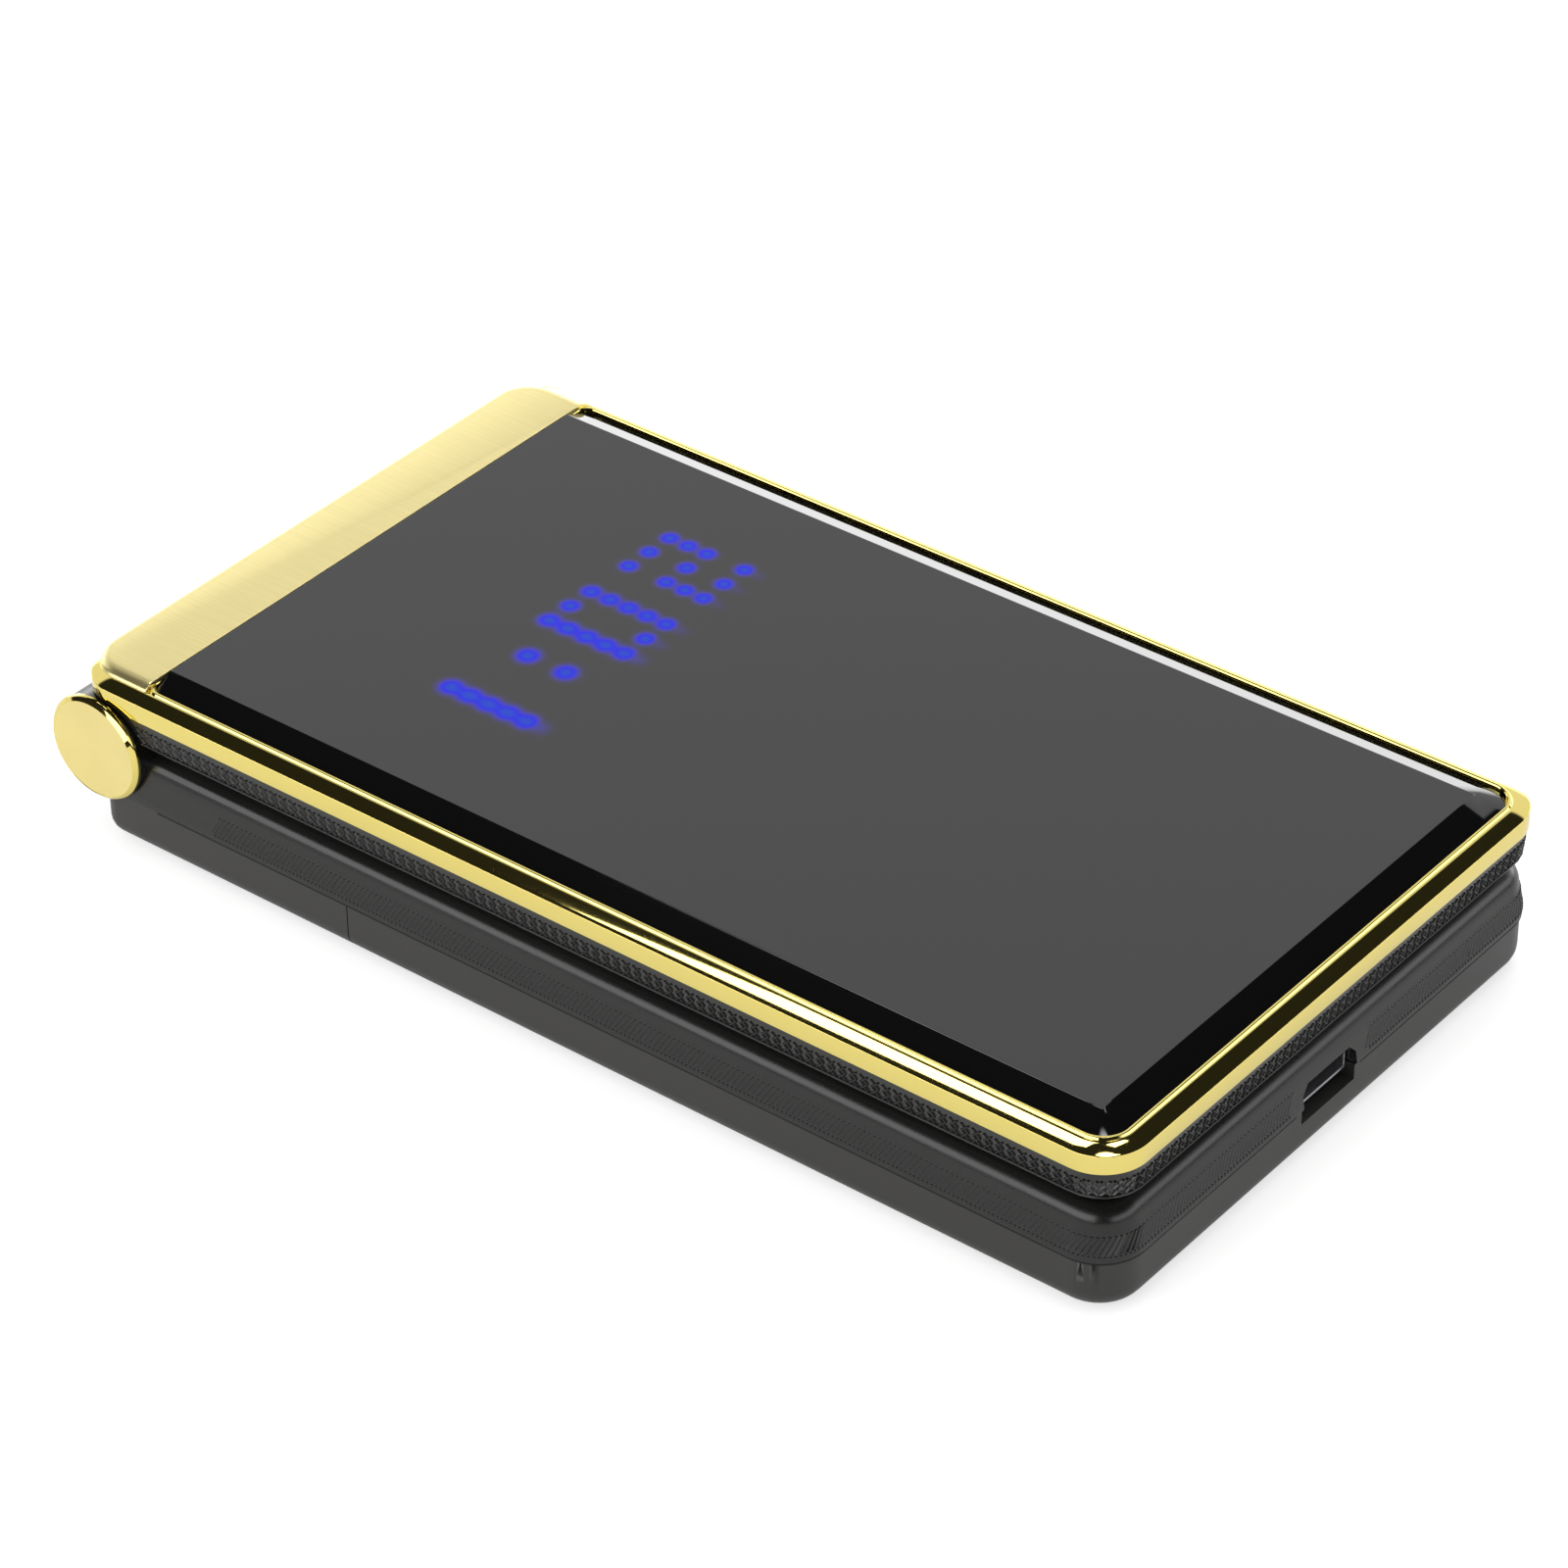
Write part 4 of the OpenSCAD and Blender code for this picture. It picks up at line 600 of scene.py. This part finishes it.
glow_value.data.foreach_set("value", [lamp_haze(v.co) for v in cover_glass.data.vertices])
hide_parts("lid_glass")
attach(cover_glass, "lid")

# ---------------------------------------------------------------- Black casings
# Injection moulded casings, glossier above the seam than below it: the lid's casing, the keypad
# deck, the fixed rear end and the battery cover. Their edges are softened, as a moulding's are.
MOULD_GRAIN = 0.12
satin_black = finish_of("satin_black", (0.030, 0.029, 0.027), 0.42, grain=0.35, grain_size=MOULD_GRAIN,
                        uneven=0.08)
gloss_black = finish_of("gloss_black", (0.010, 0.0098, 0.009), 0.27, grain=0.25, grain_size=MOULD_GRAIN,
                        uneven=0.08)
SHARP_EDGE = 35.0


def dress(name, material, edge=0.07):
    """Gives a CAD node its finish and softens its sharp edges by that width, within its shape."""
    node = nodes[name]
    node.data.materials.clear()
    node.data.materials.append(material)
    if "custom_normal" in node.data.attributes:
        node.data.attributes.remove(node.data.attributes["custom_normal"])
    node.data.polygons.foreach_set("use_smooth", [True] * len(node.data.polygons))
    weld = node.modifiers.new("weld", "WELD")
    weld.merge_threshold = 1e-6
    soften = node.modifiers.new("soften", "BEVEL")
    soften.width = edge * mm
    soften.segments = 2
    soften.limit_method = "ANGLE"
    soften.angle_limit = math.radians(SHARP_EDGE)
    soften.harden_normals = True


dress("lid_casing", gloss_black)
dress("front_casing", gloss_black)
dress("rear_casing", satin_black)
dress("battery_cover", satin_black)

# ---------------------------------------------------------------- Grip textures
# Moulded into the casings: two rows of small crosses over a bead round the lid's sides, and fine
# slanting ribs between two rows of notches round the base's. All stop short of the hinge.
SEAM_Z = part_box("battery_cover")[1].z / mm + 0.2
LID_EDGE_Z = FRAME_Z - 2.5
LID_GRIP_END, BASE_GRIP_END = 46.5, 38.3
CROSS_PITCH, CROSS_SIZE, CROSS_WIDTH, CROSS_RISE = 1.08, 0.66, 0.34, 0.10
CROSS_ROWS = (0.3, 0.98)
SOCKET_X = sum(c.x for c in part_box("usb_socket")) / 2 / mm
SOCKET_CLEAR = 5.4
# Ribs stand in the wall by this much at their sides
ROOTED = 0.03


def side_walk(end_y, step):
    """Places along the two sides and the mouth end, a step apart: (x, y, outward x, outward y)."""
    straight = end_y - (MOUTH_Y + CORNER_R)
    turn = CORNER_R * math.pi / 2
    across = 2 * (HALF_W - CORNER_R)
    total = 2 * (straight + turn) + across
    count = round(total / step)
    places = []
    for i in range(count + 1):
        far = i * total / count
        mirrored = far > total / 2
        near = total - far if mirrored else far
        if near < straight:
            x, y, out_x, out_y = -HALF_W, end_y - near, -1.0, 0.0
        elif near < straight + turn:
            a = (near - straight) / CORNER_R
            out_x, out_y = -math.cos(a), -math.sin(a)
            x, y = -HALF_W + CORNER_R + CORNER_R * out_x, MOUTH_Y + CORNER_R + CORNER_R * out_y
        else:
            x, y, out_x, out_y = -HALF_W + CORNER_R + near - straight - turn, MOUTH_Y, 0.0, -1.0
        places.append((-x, y, -out_x, out_y) if mirrored else (x, y, out_x, out_y))
    return places


def rib(bm, place, low, high, lean, width, rise, inset_at):
    """A small raised rib on a side: from its low to its high end it leans sideways by lean."""
    x, y, out_x, out_y = place
    crest = width / 9
    ends = []
    for height, along in ((low, -lean / 2), (high, lean / 2)):
        for side, lift in ((-width / 2, -ROOTED), (-crest, rise), (crest, rise), (width / 2, -ROOTED)):
            out = lift - inset_at(height)
            slide = along + side
            rib_x, rib_y = x + out * out_x - slide * out_y, y + out * out_y + slide * out_x
            ends.append(bm.verts.new((rib_x * mm, rib_y * mm, height * mm)))
    for i in range(3):
        bm.faces.new((ends[i], ends[i + 1], ends[i + 5], ends[i + 4]))
    bm.faces.new(ends[3::-1])
    bm.faces.new(ends[4:])


def lid_inset(z):
    """How far the lid casing's side lies inside the widest outline, at a height."""
    return 0.42 - 0.09 * (z - LID_EDGE_Z)


def base_inset(z):
    """The same for the front casing's side."""
    return 0.02 + 0.182 * max(z - SEAM_Z - 0.3, 0)


bm = bmesh.new()
walk = side_walk(LID_GRIP_END, CROSS_PITCH)
for place in walk:
    for row in CROSS_ROWS:
        low = LID_EDGE_Z + row
        for lean in (-CROSS_SIZE, CROSS_SIZE):
            rib(bm, place, low, low + CROSS_SIZE, lean, CROSS_WIDTH, CROSS_RISE, lid_inset)
# The smooth bead along the lid's lower edge: (rise from the side, height over the edge)
bead = []
for rise, height in ((-0.06, 0.2), (0.07, 0.17), (0.12, 0.08), (0.09, -0.02), (-0.1, -0.06)):
    z = LID_EDGE_Z + height
    out = rise - lid_inset(z)
    bead.append([bm.verts.new(((x + out * out_x) * mm, (y + out * out_y) * mm, z * mm))
                 for x, y, out_x, out_y in walk])
for low, high in zip(bead, bead[1:]):
    bridge(bm, low, high, closed=False)
lid_grip = finish_mesh(bm, "lid_grip", gloss_black, 20.0)
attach(lid_grip, "lid")

# Ribs and the notches below and above them: (pitch, low and high end over the seam, lean, width, rise)
BASE_ROWS = [(0.5, 0.72, 2.3, 0.9, 0.42, 0.09), (0.42, 0.36, 0.56, 0.0, 0.3, 0.08),
             (0.42, 2.44, 2.6, 0.0, 0.3, 0.06)]
bm = bmesh.new()
for pitch, low, high, lean, width, rise in BASE_ROWS:
    for place in side_walk(BASE_GRIP_END, pitch):
        if place[1] < MOUTH_Y + 1 and abs(place[0] - SOCKET_X) < SOCKET_CLEAR:
            continue
        rib(bm, place, SEAM_Z + low, SEAM_Z + high, lean, width, rise, base_inset)
base_grip = finish_mesh(bm, "base_grip", gloss_black, 20.0)
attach(base_grip, "base")

# ---------------------------------------------------------------- Seam shade strip
# A near-black strip laid into the seam under the front casing's edge: painted shade standing in for the
# shadow in the seam groove, not a part of the phone. It runs round the sides and the mouth end, and
# stops on both sides of the charging socket.
SHADE_STRIP_END, SHADE_STRIP_STEP, SHADE_STRIP_STOP = 45.0, 0.5, 4.2
# Its section: (inset from the side, height over the seam)
SHADE_STRIP_SECTION = [(0.35, 0.0), (0.02, 0.0), (0.02, -0.19), (0.35, -0.19)]
# The strip's near-black colour is painted shade for the seam groove
seam_shade_paint = finish_of("seam_shade_paint", (0.003, 0.003, 0.003), 0.85, grain=0.3, uneven=0.1)
bm = bmesh.new()
walk = side_walk(SHADE_STRIP_END, SHADE_STRIP_STEP)
near_side = [place for place in walk if place[0] < SOCKET_X - SHADE_STRIP_STOP]
far_side = [place for place in walk if place[0] > SOCKET_X + SHADE_STRIP_STOP]
for strip in (near_side, far_side):
    rows = [[bm.verts.new(((x - inset * out_x) * mm, (y - inset * out_y) * mm, (SEAM_Z + rise) * mm))
             for x, y, out_x, out_y in strip] for inset, rise in SHADE_STRIP_SECTION]
    for low, high in zip(rows, rows[1:] + rows[:1]):
        bridge(bm, low, high, closed=False)
    bm.faces.new([row[0] for row in rows])
    bm.faces.new([row[-1] for row in reversed(rows)])
seam_shade_strip = finish_mesh(bm, "seam_shade_strip", seam_shade_paint, 30.0)
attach(seam_shade_strip, "base")

# ---------------------------------------------------------------- Hinge caps
# Turned brass caps, gold plated: a face spun to fine rings and a polished edge, with a spigot
# into each outer knuckle.
CAP_R, CAP_FACE_R = 4.95, 4.5
CAP_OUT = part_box("hinge_cap_far")[1].x / mm
CAP_IN = HALF_W + 0.1
SPIGOT_R = 2.6
SPIGOT_IN = HALF_W - 1.3
CAP_STEPS = 128


def lathe(bm, profile):
    """Turns a profile, (radius, place along X), round the hinge axis."""
    turns = [math.tau * i / CAP_STEPS for i in range(CAP_STEPS)]
    rings = [[bm.verts.new((along * mm, (HINGE_Y + radius * math.cos(a)) * mm,
                            (HINGE_Z + radius * math.sin(a)) * mm)) for a in turns]
             for radius, along in profile]
    for low, high in zip(rings, rings[1:]):
        bridge(bm, low, high)


spun_gold = bpy.data.materials.new("spun_gold")
spun_gold.use_nodes = True
tree = spun_gold.node_tree
shader = tree.nodes["Principled BSDF"]
shader.inputs["Base Color"].default_value = (0.88, 0.74, 0.30, 1)
shader.inputs["Metallic"].default_value = 1.0
shader.inputs["Roughness"].default_value = 0.28
shader.inputs["Anisotropic"].default_value = 0.85
spin = new_node(tree, "Tangent", direction_type="RADIAL", axis="X")
turn = new_node(tree, "TexCoord").outputs["Object"]
centre = new_node(tree, "Mapping")
centre.inputs["Location"].default_value = (0, -HINGE_Y * mm, -HINGE_Z * mm)
tree.links.new(turn, centre.inputs["Vector"])
parts = new_node(tree, "SeparateXYZ")
tree.links.new(centre.outputs["Vector"], parts.inputs[0])
squares = [math_node(tree, "MULTIPLY", part, part) for part in parts.outputs[1:]]
radius = math_node(tree, "SQRT", math_node(tree, "ADD", *squares))
groove = new_node(tree, "TexNoise", noise_dimensions="1D")
tree.links.new(math_node(tree, "MULTIPLY", radius, 9000.0), groove.inputs["W"])
groove.inputs["Detail"].default_value = 3.0
bump = new_node(tree, "Bump")
bump.inputs["Strength"].default_value = 0.25
bump.inputs["Distance"].default_value = 0.01 * mm
tree.links.new(groove.outputs["Fac"], bump.inputs["Height"])
tree.links.new(bump.outputs["Normal"], shader.inputs["Normal"])
tree.links.new(spin.outputs["Tangent"], shader.inputs["Tangent"])

# Profiles from the middle out: (radius, distance from the frame's middle)
FACE_AT = CAP_OUT - 0.03
CAP_FACE = [(0.0, FACE_AT - 0.10), (1.0, FACE_AT - 0.085), (CAP_FACE_R - 0.15, FACE_AT - 0.02),
            (CAP_FACE_R, FACE_AT)]
CAP_BODY = [(0.0, FACE_AT - 0.13), (CAP_FACE_R - 0.1, FACE_AT - 0.06), (CAP_FACE_R, FACE_AT),
            (CAP_FACE_R + 0.08, FACE_AT + 0.03), (CAP_R - 0.12, FACE_AT - 0.22),
            (CAP_R - 0.03, FACE_AT - 0.30), (CAP_R, FACE_AT - 0.40), (CAP_R, CAP_IN),
            (SPIGOT_R, CAP_IN), (SPIGOT_R, SPIGOT_IN), (0.0, SPIGOT_IN)]
for side, cap in ((-1, "hinge_cap_near"), (1, "hinge_cap_far")):
    bm = bmesh.new()
    lathe(bm, [(radius, side * along) for radius, along in CAP_FACE])
    face = finish_mesh(bm, cap + "_face", spun_gold, 40.0)
    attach(face, "base")
    bm = bmesh.new()
    lathe(bm, [(radius, side * along) for radius, along in CAP_BODY])
    piece = finish_mesh(bm, cap + "_turned", polished_gold, 40.0)
    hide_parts(cap)
    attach(piece, "base")

# ---------------------------------------------------------------- Inside pieces
# What the phone holds: boards, screened parts, springs and connectors, each in its own finish. They
# are screwed, taped or clipped to the casings.
# (finish, the pieces that have it)
FINISHES = [
    (finish_of("pressed_steel", (0.60, 0.60, 0.62), 0.30, metallic=1.0, uneven=0.04),
     ["earpiece", "earpiece_mesh", "lid_magnet", "lid_screws", "hinge_can", "hinge_spring",
      "shield_can", "dome_sheet", "usb_socket", "microphone", "sim_holder", "vibration_motor",
      "hinge_shaft", "hinge_pin", "base_screws"]),
    (finish_of("dark_plastic", (0.045, 0.045, 0.05), 0.45, grain=0.3, uneven=0.05),
     ["loudspeaker", "camera_module", "battery_contacts"]),
    (finish_of("solder_mask", (0.03, 0.15, 0.07), 0.35, uneven=0.15, grain=0.2),
     ["main_board", "clock_board"]),
    (finish_of("soft_rubber", (0.02, 0.02, 0.02), 0.75, grain=0.5, uneven=0.1),
     ["lid_bumpers", "screw_plugs", "board_tape"]),
    (finish_of("lamp_lens", (0.25, 0.35, 0.95), 0.3, uneven=0.05), ["clock_leds"]),
    (finish_of("display_frame", (0.35, 0.35, 0.37), 0.35, metallic=1.0, uneven=0.05), ["lcd_module"]),
    (finish_of("ribbon_film", (0.48, 0.24, 0.06), 0.35, uneven=0.1), ["lid_flex"]),
    (finish_of("antenna_plastic", (0.55, 0.44, 0.26), 0.5, uneven=0.06), ["antenna"]),
    (finish_of("battery_wrap", (0.16, 0.16, 0.18), 0.38, uneven=0.05, grain=0.2), ["battery"]),
    (finish_of("black_window", (0.006, 0.006, 0.007), 0.05, uneven=0.1, ior=1.55),
     ["display_window", "camera_window"]),
]
for material, members in FINISHES:
    for name in members:
        dress(name, material, edge=0.04)

# ---------------------------------------------------------------- Keys
# Moulded keys under the lid: twelve for numbers, two soft keys, call and end, and a navigation
# ring round a centre key. Their legends are printed, raised by a hair.
key_black = finish_of("key_black", (0.05, 0.05, 0.052), 0.32, grain=0.15, uneven=0.05)
key_green = finish_of("key_green", (0.03, 0.30, 0.08), 0.32, grain=0.15, uneven=0.05)
key_red = finish_of("key_red", (0.45, 0.02, 0.02), 0.32, grain=0.15, uneven=0.05)
NUMBER_KEYS = {f"key_{number}": str(number) for number in range(1, 10)}
NUMBER_KEYS |= {"key_star": "*", "key_0": "0", "key_hash": "#"}
LEGEND_SIZE, LEGEND_RISE = 6.2, 0.012
STAR_DROP = 1.2
for name in [*NUMBER_KEYS, "soft_left", "soft_right", "ok_key"]:
    dress(name, key_black, edge=0.05)
dress("call_key", key_green, edge=0.05)
dress("end_key", key_red, edge=0.05)
dress("nav_ring", brushed_gold, edge=0.06)
legend_white = finish_of("legend_white", (0.80, 0.80, 0.78), 0.5, uneven=0.03)
for name, words in NUMBER_KEYS.items():
    low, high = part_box(name)
    print_curve = bpy.data.curves.new(name + "_legend", "FONT")
    print_curve.body = words
    print_curve.size = LEGEND_SIZE * mm
    print_curve.align_x = "CENTER"
    print_curve.align_y = "CENTER"
    print_curve.extrude = LEGEND_RISE * mm
    carrier = bpy.data.objects.new(name + "_carrier", print_curve)
    bpy.context.scene.collection.objects.link(carrier)
    drop = STAR_DROP * mm if words == "*" else 0
    carrier.location = ((low.x + high.x) / 2, (low.y + high.y) / 2 - drop, high.z)
    bpy.context.view_layer.update()
    made = bpy.data.meshes.new_from_object(carrier.evaluated_get(bpy.context.evaluated_depsgraph_get()))
    made.transform(carrier.matrix_world)
    bpy.data.objects.remove(carrier)
    made.materials.clear()
    made.materials.append(legend_white)
    legend = bpy.data.objects.new(name + "_legend", made)
    bpy.context.scene.collection.objects.link(legend)
    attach(legend, name + "_body")
